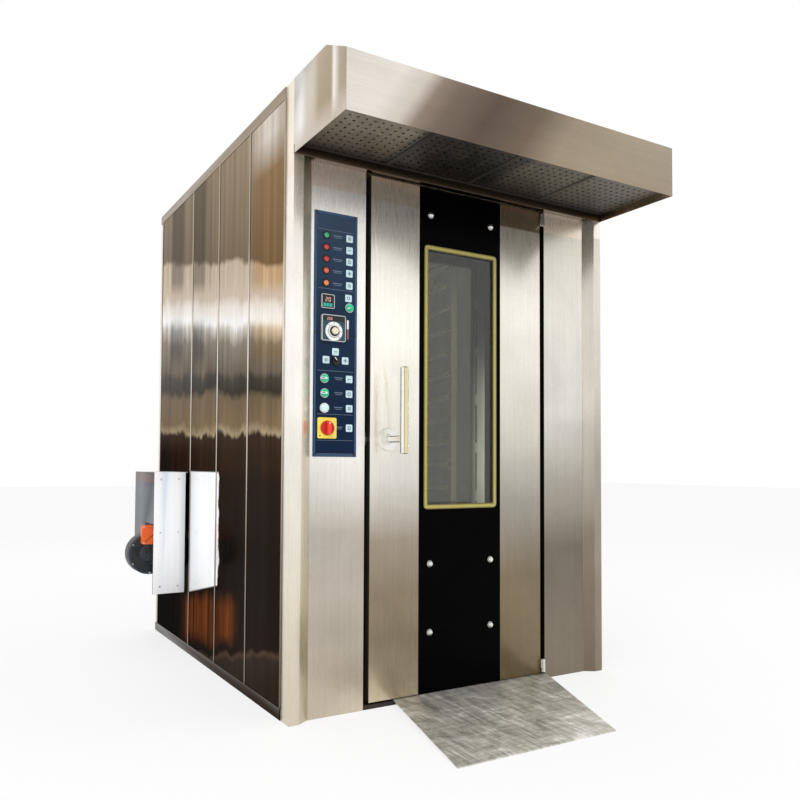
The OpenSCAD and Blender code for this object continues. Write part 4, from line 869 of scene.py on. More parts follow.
plain("white_knob", shade(208, 238, 236), 0.3, scale=220, amount=0.06)
plain("pale_bezel", shade(226, 226, 230), 0.32, 0.2, scale=220, amount=0.06)
plain("isolator_yellow", shade(246, 222, 84), 0.4, scale=220, amount=0.06)
plain("isolator_red", shade(186, 26, 16), 0.34, scale=180)
plain("isolator_grip", shade(240, 62, 40), 0.22, scale=180, amount=0.08)
plain("silicone", shade(38, 38, 38), 0.65, scale=160, amount=0.2, bump=0.15)

# ---- Which finish each frame node wears ----

NODES_WEARING = {
    "base_steel": "base_frame", "corner_post_sheet": "corner_posts", "polished_side": "casing_panels",
    "strip_sheet": "trim_strips", "mineral_wool": "insulation", "column_sheet": "front_panels",
    "chamber_sheet": "door_frame chamber_floor heater_walls steam_generator turntable_disc circulation_fan steam_damper",
    "liner_sheet": "chamber_liner", "lamp_glass": "interior_lamp", "hood_sheet": "hood_shell",
    "perforated_sheet": "hood_filters",
    "galvanised": "vent_pipes control_box front_left_caster front_right_caster",
    "heat_steel": "combustion_chamber heat_exchanger", "machine_paint": "motors",
    "chain_steel": "drive_chain motor_sprocket", "cover_enamel": "burner_cover",
    "burner_black": "burner_housing", "burner_orange": "burner_control_box", "navy_film": "control_plate",
    "pale_tile": "icon_tiles", "red_lens": "pilot_lamps", "instrument_silver": "panel_instruments",
    "isolator_yellow": "isolator_plate", "bright_steel": "hinge_pins door_fittings latch_tongue",
    "door_edge": "door_core", "door_sheet": "door_skins", "black_panel": "door_black_panel",
    "gold_gasket": "window_gasket", "pane_glass": "window_glass", "silicone": "door_seal",
    "handle_metal": "door_handle", "rack_steel": "drive_shaft rack",
    "black_rubber": "front_left_wheel front_right_wheel rear_left_wheel rear_right_wheel",
    "grey_alloy": "hood_fan burner_fan", "ivory_knob": "temperature_dial", "black_knob": "mode_selector",
    "green_knob": "timer_selector fan_selector steam_selector", "white_knob": "start_button",
    "isolator_red": "isolator_knob", "ramp_plate": "ramp"}
NODE_FINISHES = {node: finish for finish, nodes in NODES_WEARING.items() for node in nodes.split()}
for name, finish in NODE_FINISHES.items():
    node = frame["nodes"][name]
    node.data.materials.clear()
    node.data.materials.append(FINISHES[finish])


def dress(obj, finish, body, *nodes, slot=None):
    """Gives a finished piece its finish, its body and the nodes that it stands for."""
    obj.data.materials.clear()
    obj.data.materials.append(FINISHES[finish])
    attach(obj, body)
    if nodes:
        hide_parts(*nodes)
    return obj


def fixed(obj, finish, slot):
    """Finish for a piece on the casing that stands for no node; its slot is not used."""
    return dress(obj, finish, "casing", slot=slot)


def pad(name, low, high, corner, edge, axis=Y, segments=6):
    """Plate whose corners seen along an axis are round, with a softened rim."""
    low, high = Vector(low), Vector(high)
    put_down()
    bpy.ops.mesh.primitive_cube_add(size=1, location=(low + high) / 2, scale=high - low)
    obj = settle(bpy.context.object, name)
    take(obj)
    bpy.ops.object.mode_set(mode="EDIT")
    pick_edges(obj, lambda a, b: (b - a).length > 0 and abs((b - a).normalized().dot(axis)) > 0.99)
    bpy.ops.mesh.bevel(offset=corner, segments=segments, affect="EDGES")
    close_up(obj)
    if edge:
        rounded(obj, edge, 2, 40)
    return smooth(obj)


def ring(name, centre, direction, outer, inner, depth, edge=0.0006, sides=48):
    """Flat ring: a short lathe piece with its middle taken out."""
    direction = Vector(direction).normalized()
    centre = Vector(centre)
    body = turned(name, centre, direction, outer, [(depth, outer)], sides)
    cutter = turned(name + "_bore", centre - direction * depth, direction, inner, [(3 * depth, inner)], sides)
    carve(body, cutter)
    if edge:
        rounded(body, edge, 2, 40)
    return smooth(body)


# ---- Folded sheets of the body ----

for node, body, fold in (("corner_posts", "casing", 0.002), ("hood_shell", "casing", 0.0008),
                         ("trim_strips", "casing", 0.0006), ("door_skins", "door", 0.0015),
                         ("burner_cover", "casing", 0.0008), ("ramp", "ramp_plate", 0.0008)):
    dress(softened(node, fold), NODE_FINISHES[node], body, node)

# ---- Door fittings and handle ----

DOOR_FACE = corners("door_skins")[0].y
OUTWARDS = -Y


def at_depth(point, depth):
    """A point brought to a given depth, which is its place along Y."""
    return Vector((point.x, depth, point.z))


def shares(radius, *steps):
    """Lathe steps whose radii are shares of one radius."""
    return [(advance, radius * share) for advance, share in steps]


def cover_cap(name, low, high):
    """Domed cap with a rolled rim."""
    radius = (high.x - low.x) / 2
    steps = shares(radius, (0.0022, 0.99), (0.0008, 0.94), (0.0006, 0.88), (0.0024, 0.86), (0.0026, 0.74),
                   (0.0022, 0.52), (0.0012, 0.26), (0.0003, 0.08))
    return turned(name, at_depth((low + high) / 2, high.y), OUTWARDS, radius, steps, 40)


def rosette(name, low, high):
    """Flat disc with a stepped rim and a raised middle round the spindle."""
    radius = (high.x - low.x) / 2
    steps = shares(radius, (0.0050, 1), (0.0012, 0.96), (0.0001, 0.90), (0.0004, 0.88), (0.0001, 0.46),
                   (0.0012, 0.43))
    return turned(name, at_depth((low + high) / 2, high.y), OUTWARDS, radius, steps, 72, 0.0003)


def hinge_eye(name, low, high):
    """Tube round the pin with the leaf that is welded to the door."""
    radius = (high.y - low.y) / 2
    axis = Vector((high.x - radius, (low.y + high.y) / 2, low.z))
    tube = ring(name, axis, Z, radius, radius * 0.58, high.z - low.z, 0.0008)
    leaf = slab(name + "_leaf", (low.x, axis.y - 0.004, low.z + 0.001),
                (axis.x - radius * 0.7, axis.y + 0.008, high.z - 0.001), 0.0012)
    return joined(name, [tube, leaf])


for index, (low, high) in enumerate(solid_boxes("door_fittings")):
    if low.x > 0.3:
        dress(hinge_eye("hinge_eye_%d" % index, low, high), "bright_steel", "door", "door_fittings")
    elif high.x - low.x > 0.05:
        dress(rosette("handle_rosette", low, high), "rosette_steel", "door", "door_fittings")
    else:
        dress(cover_cap("cover_cap_%d" % index, low, high), "bright_steel", "door", "door_fittings")

handle_low, handle_high = corners("door_handle")
bar_radius = (handle_high.x - handle_low.x) / 2
bar_axis = Vector((HANDLE_X, handle_low.y + bar_radius, handle_low.z))
bar_length = handle_high.z - handle_low.z
groove = shares(bar_radius, (0.0006, 0.95), (0.0018, 0.95), (0.0006, 1))
handle_bar = turned("handle_bar", bar_axis, Z, bar_radius * 0.80, [
    (0.0030, bar_radius), (0.016, bar_radius), *groove, (bar_length - 0.044, bar_radius), *groove,
    (0.016, bar_radius), (0.003, bar_radius * 0.80)], 64)
dress(handle_bar, "handle_metal", "handle", "door_handle")
stem = turned("handle_stem", (HANDLE_X, handle_high.y, STEM_Z), OUTWARDS, 0.0075, [
    (handle_high.y - DOOR_FACE + 0.0082, 0.0075), (0.0002, 0.0175), (0.004, 0.0175), (0.0008, 0.0165),
    (0.0002, 0.0128), (DOOR_FACE - bar_axis.y - 0.0135, 0.0128)], 48)
dress(stem, "stem_metal", "handle", "door_handle")

# ---- Control panel: film, lamps and tiles ----

PANEL_LOW, PANEL_HIGH = corners("control_plate")
PANEL_FACE = PANEL_LOW.y


def at_panel(across, up, out=0.0):
    """Place on the panel: millimetres from its lower left corner, and out of its face."""
    return Vector((PANEL_LOW.x + across * MM, PANEL_FACE - out * MM, PANEL_LOW.z + up * MM))


def on_panel(point):
    """A point in millimetres from the panel's lower left corner."""
    return (point.x - PANEL_LOW.x) / MM, (point.z - PANEL_LOW.z) / MM


def film(name, left, low, right, high, thick=0.35, corner=0.0, out=0.0):
    """Printed or glued layer on the panel, its corners in millimetres of the panel."""
    a, b = at_panel(left, low, out + thick), at_panel(right, high, out - 0.2)
    if corner:
        return pad(name, a, b, corner * MM, 0.0, Y, 5)
    return slab(name, a, b, 0.00008, 1)


PANEL_W, PANEL_H = on_panel(PANEL_HIGH)
EDGE = 1.5
INNER = EDGE + 7
border_strips = [
    film("border_left", EDGE, EDGE, INNER, PANEL_H - EDGE),
    film("border_right", PANEL_W - INNER, EDGE, PANEL_W - EDGE, PANEL_H - EDGE),
    film("border_low", INNER, EDGE, PANEL_W - INNER, INNER),
    film("border_top", INNER, PANEL_H - INNER, PANEL_W - INNER, PANEL_H - EDGE)]
fixed(joined("panel_border", border_strips), "navy_border", "navy_foil")
rules = [film("rule_%d" % index, 15, up, PANEL_W - 15, up + 1.3)
         for index, up in enumerate((832, 614, 313, 154, 59, 10))]
fixed(joined("panel_rules", rules), "film_line", "navy_foil")

lamps = solid_boxes("pilot_lamps")
tiles = solid_boxes("icon_tiles")
captions = []


def caption(left, right, up, height):
    """Two dashes, the lower one shorter, where a lamp or a tile has its caption."""
    for inset, low, high in ((0, 1.5, 1.5 + height), (4, -4.5, -2.6)):
        captions.append(film("caption_%d" % len(captions), left + inset, up + low, right - inset, up + high))


for low, high in lamps:
    caption(74, 112, on_panel((low + high) / 2)[1], 3.0)
for low, high in tiles:
    across, up = on_panel((low + high) / 2)
    if across > 138 and up < 330:
        caption(84, 118, up, 2.8)
fixed(joined("panel_captions", captions), "film_line", "navy_foil")

for across in (9, PANEL_W - 9):
    for up in (9, PANEL_H / 2, PANEL_H - 9):
        head = turned("panel_screw", at_panel(across, up), OUTWARDS, 0.0042, [
            (0.0010, 0.0042), (0.0008, 0.0036), (0.0004, 0.0022), (0.0001, 0.0009)], 24)
        carve(head, slab("screw_slot", at_panel(across - 5, up - 0.5, 4), at_panel(across + 5, up + 0.5, 1.6),
                         0.0001, 1))
        fixed(smooth(head), "black_knob", "black_knob")

MARKS = ("ring", "bars", "ring", "dots", "bars", "fan", "dots", "ring", "bars", "fan", "ring", "dots", "bars")


def tile_mark(name, kind, centre):
    """Small plain sign on a tile: a ring, bars, dots or a four-bladed wheel."""
    across, up = on_panel(centre)
    if kind == "ring":
        return ring(name, at_panel(across, up, 0.9), OUTWARDS, 0.0066, 0.0044, 0.00035, 0, 28)
    if kind == "bars":
        pieces = [film(name, across - 6, up + step - 0.9, across + 6, up + step + 0.9, 0.25, 0, 1)
                  for step in (-4, 0, 4)]
    elif kind == "dots":
        pieces = [turned(name, at_panel(across + step, up, 0.9), OUTWARDS, 0.0018, [(0.00035, 0.0017)], 16)
                  for step in (-5, 0, 5)]
    else:
        pieces = [turned_about(film(name, across + 1.2, up - 1.6, across + 7, up + 1.6, 0.25, 0, 1),
                               at_panel(across, up), "Y", quarter * math.pi / 2) for quarter in range(4)]
    return joined(name, pieces)


for index, (low, high) in enumerate(tiles):
    tile = pad("panel_tile_%d" % index, low, (high.x, high.y + 0.0002, high.z), 0.004, 0.00025)
    dress(tile, "pale_tile", "casing", "icon_tiles")
    mark = tile_mark("tile_mark_%d" % index, MARKS[index % len(MARKS)], (low + high) / 2)
    fixed(mark, "tile_mark", "navy_foil")

LENSES = ("orange_lens", "amber_lens", "red_lens", "red_lens", "green_lens")
for index, (low, high) in enumerate(lamps):
    centre = (low + high) / 2
    radius = (high.x - low.x) / 2
    barrel = turned("lamp_barrel_%d" % index, at_depth(centre, high.y), OUTWARDS, 0.0105, [
        (high.y - PANEL_FACE, 0.0105), (0.0001, radius), (0.0022, radius), (0.0010, radius * 0.93)], 40)
    dress(barrel, "black_knob", "casing", "pilot_lamps")
    dome = turned("lamp_lens_%d" % index, at_depth(centre, PANEL_FACE) + OUTWARDS * 0.0025, OUTWARDS,
                  radius * 0.64, shares(radius, (0.0030, 0.64), (0.0014, 0.56), (0.0010, 0.42),
                                        (0.0006, 0.24), (0.0002, 0.08)), 36)
    dress(dome, LENSES[index], "casing", "pilot_lamps")

# ---- Control panel: timer and temperature controller ----


def framed(name, low, high, corner, rim, sink):
    """Instrument bezel: a rounded plate whose front is inset and sunk."""
    obj = pad(name, low, high, corner, 0.0)
    take(obj)
    bpy.ops.object.mode_set(mode="EDIT")
    pick_faces(obj, lambda c, n: n.y < -0.9)
    bpy.ops.mesh.inset(thickness=rim)
    push(Y * sink)
    close_up(obj)
    return rounded(obj, 0.0006, 2, 50)


def digit(name, sign, left, low, width, out):
    """One figure of seven bars, its corner and size in millimetres of the panel."""
    bar = width * 0.2
    height = width * 1.8
    half = height / 2
    spots = {
        "a": (bar, height - bar, width - bar, height), "d": (bar, 0, width - bar, bar),
        "g": (bar, half - bar / 2, width - bar, half + bar / 2), "e": (0, bar / 2, bar, half - bar / 4),
        "b": (width - bar, half + bar / 4, width, height - bar / 2),
        "c": (width - bar, bar / 2, width, half - bar / 4), "f": (0, half + bar / 4, bar, height - bar / 2)}
    lit = {"0": "abcdef", "2": "abged"}[sign]
    return joined(name, [film(name, left + x0, low + z0, left + x1, low + z1, 0.25, 0, out)
                         for x0, z0, x1, z1 in (spots[key] for key in lit)])


def figures(name, signs, left, low, width, out):
    row = [digit("%s_%d" % (name, index), sign, left + index * width * 1.45, low, width, out)
           for index, sign in enumerate(signs)]
    return fixed(joined(name, row), "digit_pink", "instrument_grey")


def instrument(name, box, corner, rim, sink):
    """Plug-in body and silver bezel; gives the bezel's corners and front in millimetres of the panel."""
    low, high = box
    back = pad(name + "_body", (low.x + 0.003, PANEL_FACE, low.z + 0.003),
               (high.x - 0.003, high.y, high.z - 0.003), 0.002, 0.0008)
    dress(back, "instrument_dark", "casing", "panel_instruments")
    bezel = framed(name + "_bezel", low, at_depth(high, PANEL_FACE + 0.0002), corner, rim, sink)
    dress(bezel, "instrument_silver", "casing", "panel_instruments")
    return (*on_panel(low), *on_panel(high), (PANEL_FACE - low.y) / MM)


def face(name, finish, *shape):
    """Printed or glued layer of an instrument."""
    return fixed(film(name, *shape), finish, "instrument_grey")


controller_box, timer_box = solid_boxes("panel_instruments")

# Square timer: dark display, keys below it
left, low, right, high, out = instrument("timer", timer_box, 0.005, 0.0022, 0.0016)
face("timer_window", "instrument_dark", left + 2.6, low + 2.6, right - 2.6, high - 2.6, 0.3, 2, out - 1.6)
figures("timer_figures", "20", left + 15, low + 25, 8.5, out - 1.1)
for index in range(3):
    key_at = left + 6.5 + 12.4 * index
    face("timer_key", "key_teal", key_at, low + 6, key_at + 11, low + 19, 0.9, 1.5, out - 1.4)

# Temperature controller: dark window above, ringed dial below, printed strip to its right
left, low, right, high, control_out = instrument("controller", controller_box, 0.006, 0.0024, 0.0012)
sunk = control_out - 1.2
face("controller_field", "instrument_teal", left + 2.8, low + 2.8, right - 2.8, high - 2.8, 0.35, 3, sunk)
face("controller_window", "instrument_dark", left + 5, high - 23, right - 5, high - 5, 0.5, 2, sunk + 0.35)
figures("controller_figures", "200", left + 20, high - 20, 5.4, sunk + 0.85)
face("panel_strip", "print_white", right + 10, low + 50, right + 18, high - 12, 0.3, 2)
face("strip_mark", "strip_red", right + 10.5, low + 12, right + 17.5, low + 48, 0.3, 2)
dial_at = pivot("dial")
dial_x, dial_z = on_panel(dial_at)
scale_ring = ring("dial_scale", at_panel(dial_x, dial_z, sunk + 0.2), OUTWARDS, 0.0345, 0.0235, 0.0005, 0, 72)
fixed(scale_ring, "print_white", "instrument_grey")
ticks = []
for step in range(31):
    reach = 28 if step % 5 == 0 else 26.4
    tick = film("dial_tick", dial_x + 24.5, dial_z - 0.25, dial_x + reach, dial_z + 0.25, 0.2, 0, sunk + 0.65)
    ticks.append(turned_about(tick, dial_at, "Y", math.radians(-45 + 9 * step)))
fixed(joined("dial_ticks", ticks), "tile_mark", "instrument_grey")
numbers = []
for step in range(7):
    angle = math.radians(225 - 45 * step)
    place = at_panel(dial_x + 31 * math.cos(angle), dial_z + 31 * math.sin(angle), sunk + 0.85)
    put_down()
    bpy.ops.object.text_add(location=place, rotation=(math.pi / 2, 0, 0))
    number = bpy.context.object
    number.data.body = str(50 * step)
    number.data.size = 0.0052
    number.data.align_x = "CENTER"
    number.data.align_y = "CENTER"
    number.data.extrude = 0.0001
    bpy.ops.object.convert(target="MESH")
    numbers.append(settle(bpy.context.object, "dial_number"))
fixed(joined("dial_numbers", numbers), "tile_mark", "instrument_grey")

# ---- Control panel: dial, switches, button and isolator ----


def ribs(name, foot, radius, count, height, depth=0.0009):
    """Grip ribs round a knob."""
    low = foot + Vector((radius - depth, -height, -0.0006))
    high = foot + Vector((radius + depth * 0.4, 0, 0.0006))
    return joined(name, [turned_about(slab(name, low, high, 0.0003, 1), foot, "Y", 2 * math.pi * step / count)
                         for step in range(count)])


dial_low, dial_high = corners("temperature_dial")
dial_face = PANEL_FACE - (control_out + 0.3) * MM
skirt = turned("dial_skirt", at_depth(dial_at, dial_high.y), OUTWARDS, 0.0038, [
    (dial_high.y - dial_face, 0.0038), (0.0002, 0.0222), (0.0012, 0.0222), (0.0006, 0.0214),
    (0.0001, 0.0192)], 64)
dress(skirt, "print_white", "dial", "temperature_dial")
cup_foot = at_depth(dial_at, dial_face - 0.0019)
cup = turned("dial_cup", cup_foot, OUTWARDS, 0.0186, [
    (0.0042, 0.0186), (0.0012, 0.0176), (0.0001, 0.0150)], 64)
dress(cup, "black_knob", "dial", "temperature_dial")
dress(ribs("dial_ribs", cup_foot, 0.0184, 36, 0.0040), "black_knob", "dial", "temperature_dial")
knob_depth = dial_face - 0.0074 - dial_low.y
knob = turned("dial_knob", at_depth(dial_at, dial_face - 0.0072), OUTWARDS, 0.0132, [
    (0.0010, 0.0132), (knob_depth - 0.0025, 0.0120), (0.0012, 0.0110), (0.0002, 0.0070)], 56, 0.0003)
dress(knob, "ivory_knob", "dial", "temperature_dial")
pointer = slab("dial_pointer", (dial_at.x - 0.0007, dial_face - 0.0080, dial_at.z + 0.0138),
               (dial_at.x + 0.0007, dial_face - 0.0070, dial_at.z + 0.0172), 0.0002, 1)
dress(pointer, "print_white", "dial", "temperature_dial")


def lever_head(node, body, finish, lever_finish, angle, sleeve_finish):
    """Round switch head with a raised lever, on its fixed sleeve."""
    low, high = corners(node)
    axis = at_depth(pivot(body), PANEL_FACE)
    radius = min(max(axis.z - low.z, high.x - axis.x), 0.0145)
    sleeve = ring(node + "_sleeve", axis + Y * 0.0002, OUTWARDS, 0.0170, 0.0149, 0.0034, 0.0005, 44)
    fixed(sleeve, sleeve_finish, "instrument_grey")
    head = turned(node + "_head", at_depth(axis, high.y), OUTWARDS, 0.0038, [
        (high.y - PANEL_FACE + 0.0004, 0.0038), (0.0002, radius), (0.0072, radius), (0.0012, radius * 0.93),
        (0.0002, radius * 0.80)], 48)
    dress(head, finish, body, node)
    lever = pad(node + "_lever", (axis.x - 0.0048, low.y + 0.0006, axis.z - 0.0038),
                (axis.x + 0.0192, PANEL_FACE - 0.0088, axis.z + 0.0038), 0.0028, 0.0009)
    stripe = pad(node + "_stripe", (axis.x + 0.0040, low.y + 0.0001, axis.z - 0.0012),
                 (axis.x + 0.0176, low.y + 0.0012, axis.z + 0.0012), 0.0010, 0.0)
    stripe_finish = "tile_mark" if lever_finish == "white_knob" else "print_white"
    for piece, piece_finish in ((lever, lever_finish), (stripe, stripe_finish)):
        dress(turned_about(piece, axis, "Y", -math.radians(angle)), piece_finish, body, node)


lever_head("mode_selector", "mode_switch", "black_knob", "black_knob", 130, "black_knob")
lever_head("timer_selector", "timer_switch", "green_knob", "green_knob", 200, "pale_bezel")
lever_head("fan_selector", "fan_switch", "green_knob", "white_knob", 180, "pale_bezel")
lever_head("steam_selector", "steam_switch", "green_knob", "white_knob", 180, "pale_bezel")

button_low, button_high = corners("start_button")
button_mid = middle("start_button")
button_radius = (button_high.x - button_low.x) / 2
button = turned("start_button_cap", at_depth(button_mid, button_high.y), OUTWARDS, 0.0040, [
    (button_high.y - PANEL_FACE - 0.001, 0.0040), *shares(
        button_radius, (0.0002, 0.99), (PANEL_FACE - button_low.y - 0.0012, 0.99), (0.0010, 0.94),
        (0.0006, 0.86), (0.0003, 0.6))], 56)
dress(button, "white_knob", "button", "start_button")
button_sleeve = ring("start_button_sleeve", at_depth(button_mid, PANEL_FACE + 0.0002), OUTWARDS,
                     button_radius + 0.0035, button_radius + 0.0004, 0.0052, 0.0007, 56)
fixed(button_sleeve, "pale_bezel", "instrument_grey")

plate_low, plate_high = corners("isolator_plate")
plate_mid = middle("isolator_plate")
plate = framed("isolator_face", plate_low, (plate_high.x, plate_high.y + 0.0002, plate_high.z),
               0.006, 0.0035, 0.0008)
dress(plate, "isolator_yellow", "casing", "isolator_plate")
for across in (-1, 1):
    for up in (-1, 1):
        place = plate_mid + Vector((across * 0.0285, 0, up * 0.0285))
        screw = turned("isolator_screw", at_depth(place, plate_low.y + 0.0008), OUTWARDS, 0.0026, [
            (0.0007, 0.0026), (0.0004, 0.0018), (0.0001, 0.0006)], 20)
        fixed(screw, "black_knob" if (across, up) == (-1, -1) else "bright_steel", "isolator_yellow")
knob_low, knob_high = corners("isolator_knob")
knob_mid = middle("isolator_knob")
knob_radius = (knob_high.x - knob_low.x) / 2
wheel = turned("isolator_wheel", at_depth(knob_mid, knob_high.y), OUTWARDS, 0.0038, [
    (knob_high.y - plate_low.y + 0.0004, 0.0038), *shares(
        knob_radius, (0.0002, 0.985), (0.0052, 0.985), (0.0015, 0.94), (0.0008, 0.86), (0.0001, 0.5))], 64)
dress(wheel, "isolator_red", "isolator", "isolator_knob")
knob_face = plate_low.y - 0.0004
knob_ribs = ribs("isolator_ribs", at_depth(knob_mid, knob_face), knob_radius * 0.975, 40, 0.0052, 0.0010)
dress(knob_ribs, "isolator_red", "isolator", "isolator_knob")
grip = pad("isolator_grip", (knob_mid.x - 0.0068, knob_low.y + 0.0002, knob_low.z + 0.0022),
           (knob_mid.x + 0.0068, knob_face - 0.0068, knob_high.z - 0.0022), 0.0060, 0.0022)
dress(grip, "isolator_grip", "isolator", "isolator_knob")
grip_dot = turned("isolator_dot", Vector((knob_mid.x, knob_low.y + 0.0006, knob_high.z - 0.0095)), OUTWARDS,
                  0.0026, [(0.0005, 0.0026), (0.0001, 0.0020)], 24)
dress(grip_dot, "print_white", "isolator", "isolator_knob")

# ---- Burner ----

dress(softened("burner_housing", 0.0012), "burner_black", "casing", "burner_housing")
housing_boxes = solid_boxes("burner_housing")
drum_at = at_depth(pivot("blower"), 0)
drum_front = min(low.y for low, high in housing_boxes if low.x < drum_at.x - 0.08)
drum_radius = drum_at.x - min(low.x for low, high in housing_boxes)
mouth = at_depth(drum_at, drum_front + 0.0002)
motor_low, motor_high = max(housing_boxes, key=lambda box: box[1].y)
motor_radius = (motor_high.x - motor_low.x) / 2
fins = [ring("motor_fin", at_depth(drum_at, motor_low.y + 0.010 + 0.009 * step), Y, motor_radius + 0.0022,
             motor_radius - 0.001, 0.0035, 0.0005, 40) for step in range(7)]
fixed(joined("motor_fins", fins), "burner_grey", "burner_black")
grille = [ring("mouth_ring", mouth, OUTWARDS, radius, radius - 0.0035, 0.0024, 0.0004, 56)
          for radius in (0.050, 0.036, 0.024)]
for step in range(4):
    spoke = slab("mouth_spoke", (drum_at.x - 0.048, drum_front - 0.0018, drum_at.z - 0.0012),
                 (drum_at.x + 0.048, drum_front - 0.0004, drum_at.z + 0.0012), 0.0004, 1)
    grille.append(turned_about(spoke, drum_at, "Y", math.pi * step / 4))
fixed(joined("drum_grille", grille), "burner_grey", "burner_black")
rim = ring("drum_rim", mouth, OUTWARDS, drum_radius * 0.99, drum_radius * 0.91, 0.0030, 0.0008, 80)
fixed(rim, "burner_grey", "burner_black")
bolts = []
for step in range(6):
    angle = math.pi * (step + 0.5) / 3
    place = Vector((drum_at.x + 0.92 * drum_radius * math.cos(angle), drum_front - 0.0026,
                    drum_at.z + 0.92 * drum_radius * math.sin(angle)))
    bolts.append(turned("drum_bolt", place, OUTWARDS, 0.0045, [(0.0026, 0.0045), (0.0006, 0.0038)], 6))
fixed(joined("drum_bolts", bolts), "bright_steel", "bright_steel")

box_low, box_high = corners("burner_control_box")
box_mid = middle("burner_control_box")
case = pad("control_case", box_low + Vector((0, 0.006, 0)), box_high, 0.008, 0.0015)
dress(case, "burner_orange", "casing", "burner_control_box")
lid = framed("control_lid", box_low + Vector((0.0015, 0, 0.0015)),
             (box_high.x - 0.0015, box_low.y + 0.0055, box_high.z - 0.0015), 0.008, 0.010, 0.0012)
dress(lid, "burner_orange", "casing", "burner_control_box")
reset = turned("reset_button", (box_mid.x + 0.022, box_low.y + 0.0012, box_mid.z - 0.012), OUTWARDS, 0.0105, [
    (0.0010, 0.0105), (0.0002, 0.0078), (0.0006, 0.0072)], 36, 0.0002)
fixed(reset, "red_lens", "lamp_red")
for across in (-0.045, 0.045):
    for up in (-0.038, 0.038):
        place = (box_mid.x + across, box_low.y + 0.0003, box_mid.z + up)
        screw = turned("lid_screw", place, OUTWARDS, 0.0034, [
            (0.0004, 0.0034), (0.0003, 0.0026), (0.0001, 0.0010)], 20)
        fixed(screw, "bright_steel", "bright_steel")

cover_low, cover_high = corners("burner_cover")
cover_screws = []
for across in (0.22, 0.78):
    for up in (0.06, 0.5, 0.94):
        place = Vector((cover_low.x + across * (cover_high.x - 0.012 - cover_low.x), cover_low.y,
                        cover_low.z + up * (cover_high.z - cover_low.z)))
        cover_screws.append(turned("cover_screw", place, OUTWARDS, 0.0050, [
            (0.0008, 0.0050), (0.0010, 0.0042), (0.0004, 0.0022), (0.0001, 0.0008)], 24))
fixed(joined("cover_screws", cover_screws), "bright_steel", "bright_steel")

# ---- Hood, roof and back ----

filter_boxes = solid_boxes("hood_filters")
seams = []
for (low, high), (next_low, _) in zip(filter_boxes, filter_boxes[1:]):
    seams.append(slab("filter_seam", (high.x - 0.009, low.y, low.z - 0.0022),
                      (next_low.x + 0.009, high.y - 0.002, low.z + 0.0002), 0.0006, 1))
first_low, first_high = filter_boxes[0]
last_x = filter_boxes[-1][1].x
for start, end in ((first_low.y, first_low.y + 0.016), (first_high.y - 0.018, first_high.y - 0.002)):
    seams.append(slab("filter_edge", (first_low.x, start, first_low.z - 0.0020),
                      (last_x, end, first_low.z + 0.0002), 0.0006, 1))
fixed(joined("filter_frames", seams), "base_steel", "dark_steel")
for low, high in filter_boxes:
    pull_at = ((low.x + high.x) / 2, low.y + 0.035, low.z)
    pull = ring("filter_pull", pull_at, -Z, 0.016, 0.0125, 0.0024, 0.0006, 36)
    fixed(pull, "bright_steel", "bright_steel")

ROOF_Z = corners("casing_panels")[1].z
HOOD_TOP = corners("hood_shell")[1].z
for index, (low, high) in enumerate(solid_boxes("vent_pipes")):
    x, y = (low.x + high.x) / 2, (low.y + high.y) / 2
    radius = (high.x - low.x) / 2
    bead = ring("collar_bead_%d" % index, (x, y, high.z - 0.014), Z, radius + 0.0025, radius - 0.0004,
                0.005, 0.0016, 72)
    fixed(bead, "galvanised", "galvanised")
    deck = ROOF_Z if abs(y - middle("hood_shell").y) > 0.1 else HOOD_TOP
    flange = ring("collar_flange_%d" % index, (x, y, deck - 0.0001), Z, radius + 0.020, radius - 0.0004,
                  0.0022, 0.0006, 72)
    fixed(flange, "galvanised", "galvanised")
    reach = radius + 0.012
    rivets = []
    for step in range(8):
        angle = math.pi * step / 4
        place = (x + reach * math.cos(angle), y + reach * math.sin(angle), deck + 0.0018)
        rivets.append(turned("rivet", place, Z, 0.0032, [
            (0.0008, 0.0032), (0.0006, 0.0022), (0.0001, 0.0008)], 16))
    fixed(joined("collar_rivets_%d" % index, rivets), "bright_steel", "bright_steel")

back_y = corners("casing_panels")[1].y
strip_y = corners("trim_strips")[1].y
back_screws = []
for across, behind in ((-0.237, strip_y), (0.237, strip_y), (-0.730, back_y), (0.730, back_y)):
    for step in range(7):
        back_screws.append(turned("back_screw", (across, behind - 0.0002, 0.12 + 0.335 * step), Y, 0.0042, [
            (0.0008, 0.0042), (0.0008, 0.0032), (0.0002, 0.0012)], 20))
fixed(joined("back_screws", back_screws), "bright_steel", "bright_steel")

# ---- Floor, light and camera ----

FLOOR_REACH = 30.0
FLOOR_DROP = 0.0005
FLOOR_GLOW = 0.72
ROOM_GREY = 0.84

put_down()
bpy.ops.mesh.primitive_plane_add(size=2 * FLOOR_REACH, location=(0, 0, -FLOOR_DROP))
floor = settle(bpy.context.object, "floor")
ground = Finish("studio_floor", grey(0.93), 0.85)
ground.colour(ground.ramp(ground.noise(40, 3, 0.6), [(0.3, 0.92), (0.7, 0.94)]))
white = ground.node("ShaderNodeEmission")
white.inputs["Color"].default_value = grey(1)
blend_shader = ground.node("ShaderNodeMixShader")
ground.wire(ground.times(ground.seen(), FLOOR_GLOW), blend_shader.inputs["Fac"])
ground.wire(ground.shader.outputs["BSDF"], blend_shader.inputs[1])
ground.wire(white.outputs["Emission"], blend_shader.inputs[2])
ground.wire(blend_shader.outputs["Shader"], ground.tree.nodes["Material Output"].inputs["Surface"])
floor.data.materials.append(FINISHES["studio_floor"])

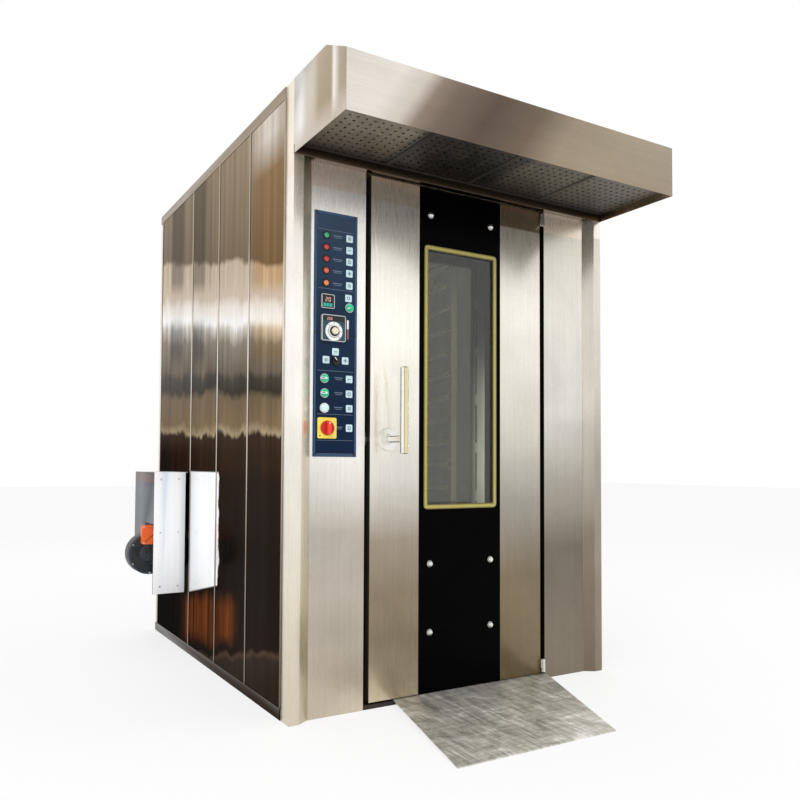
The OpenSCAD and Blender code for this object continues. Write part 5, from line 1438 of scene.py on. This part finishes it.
world = bpy.data.worlds.new("white_room")
bpy.context.scene.world = world
world.use_nodes = True
room = Nodes(world.node_tree)
backdrop = room.tree.nodes["Background"]
room.wire(room.mixed(room.seen(), grey(ROOM_GREY), grey(1)), backdrop.inputs["Color"])
backdrop.inputs["Strength"].default_value = 1.0


def soft_lamp(name, place, aim, size, power):
    """Square or oblong lamp at a place, turned to what it lights."""
    data = bpy.data.lights.new(name, "AREA")
    data.shape = "RECTANGLE"
    data.size, data.size_y = size
    data.energy = power
    lamp = bpy.data.objects.new(name, data)
    bpy.context.collection.objects.link(lamp)
    lamp.location = Vector(place)
    lamp.rotation_euler = (Vector(place) - Vector(aim)).to_track_quat("Z", "Y").to_euler()
    lamp.visible_glossy = False
    return lamp


soft_lamp("key_lamp", (-3.6, -4.4, 4.6), (0, -0.4, 1.0), (3.0, 3.0), 130)
soft_lamp("fill_lamp", (4.2, -3.2, 3.2), (0, 0, 1.0), (3.0, 3.0), 50)
soft_lamp("back_lamp", (0.5, 4.5, 4.2), (0, 0.4, 1.0), (3.0, 3.0), 35)
# Two lamps in the chamber, which the window and the open door show only by their light
for name, place, aim, size, power in (
        ("chamber_wall_lamp", (0.24, -0.62, 0.98), (0.41, -0.62, 0.94), (0.12, 0.8), 4),
        ("chamber_rack_lamp", (0.10, -0.78, 1.15), (-0.25, -0.3, 1.15), (0.10, 1.0), 8)):
    soft_lamp(name, place, aim, size, power).visible_camera = False

CAMERA_AT = Vector((-1.835, -3.4696, EYE_HEIGHT))
CAMERA_YAW = 0.5416
CAMERA_PITCH = 0.0361
CAMERA_ROLL = 0.0046
camera_data = bpy.data.cameras.new("camera")
camera_data.sensor_width = 36
camera_data.lens = 35.215
camera_data.shift_y = 0.04615
camera = bpy.data.objects.new("camera", camera_data)
bpy.context.collection.objects.link(camera)
camera.matrix_world = (
    Matrix.Translation(CAMERA_AT) @ Matrix.Rotation(-CAMERA_YAW, 4, "Z")
    @ Matrix.Rotation(math.pi / 2 + CAMERA_PITCH, 4, "X") @ Matrix.Rotation(CAMERA_ROLL, 4, "Z"))
bpy.context.scene.camera = camera
bpy.context.scene.view_settings.view_transform = "Standard"
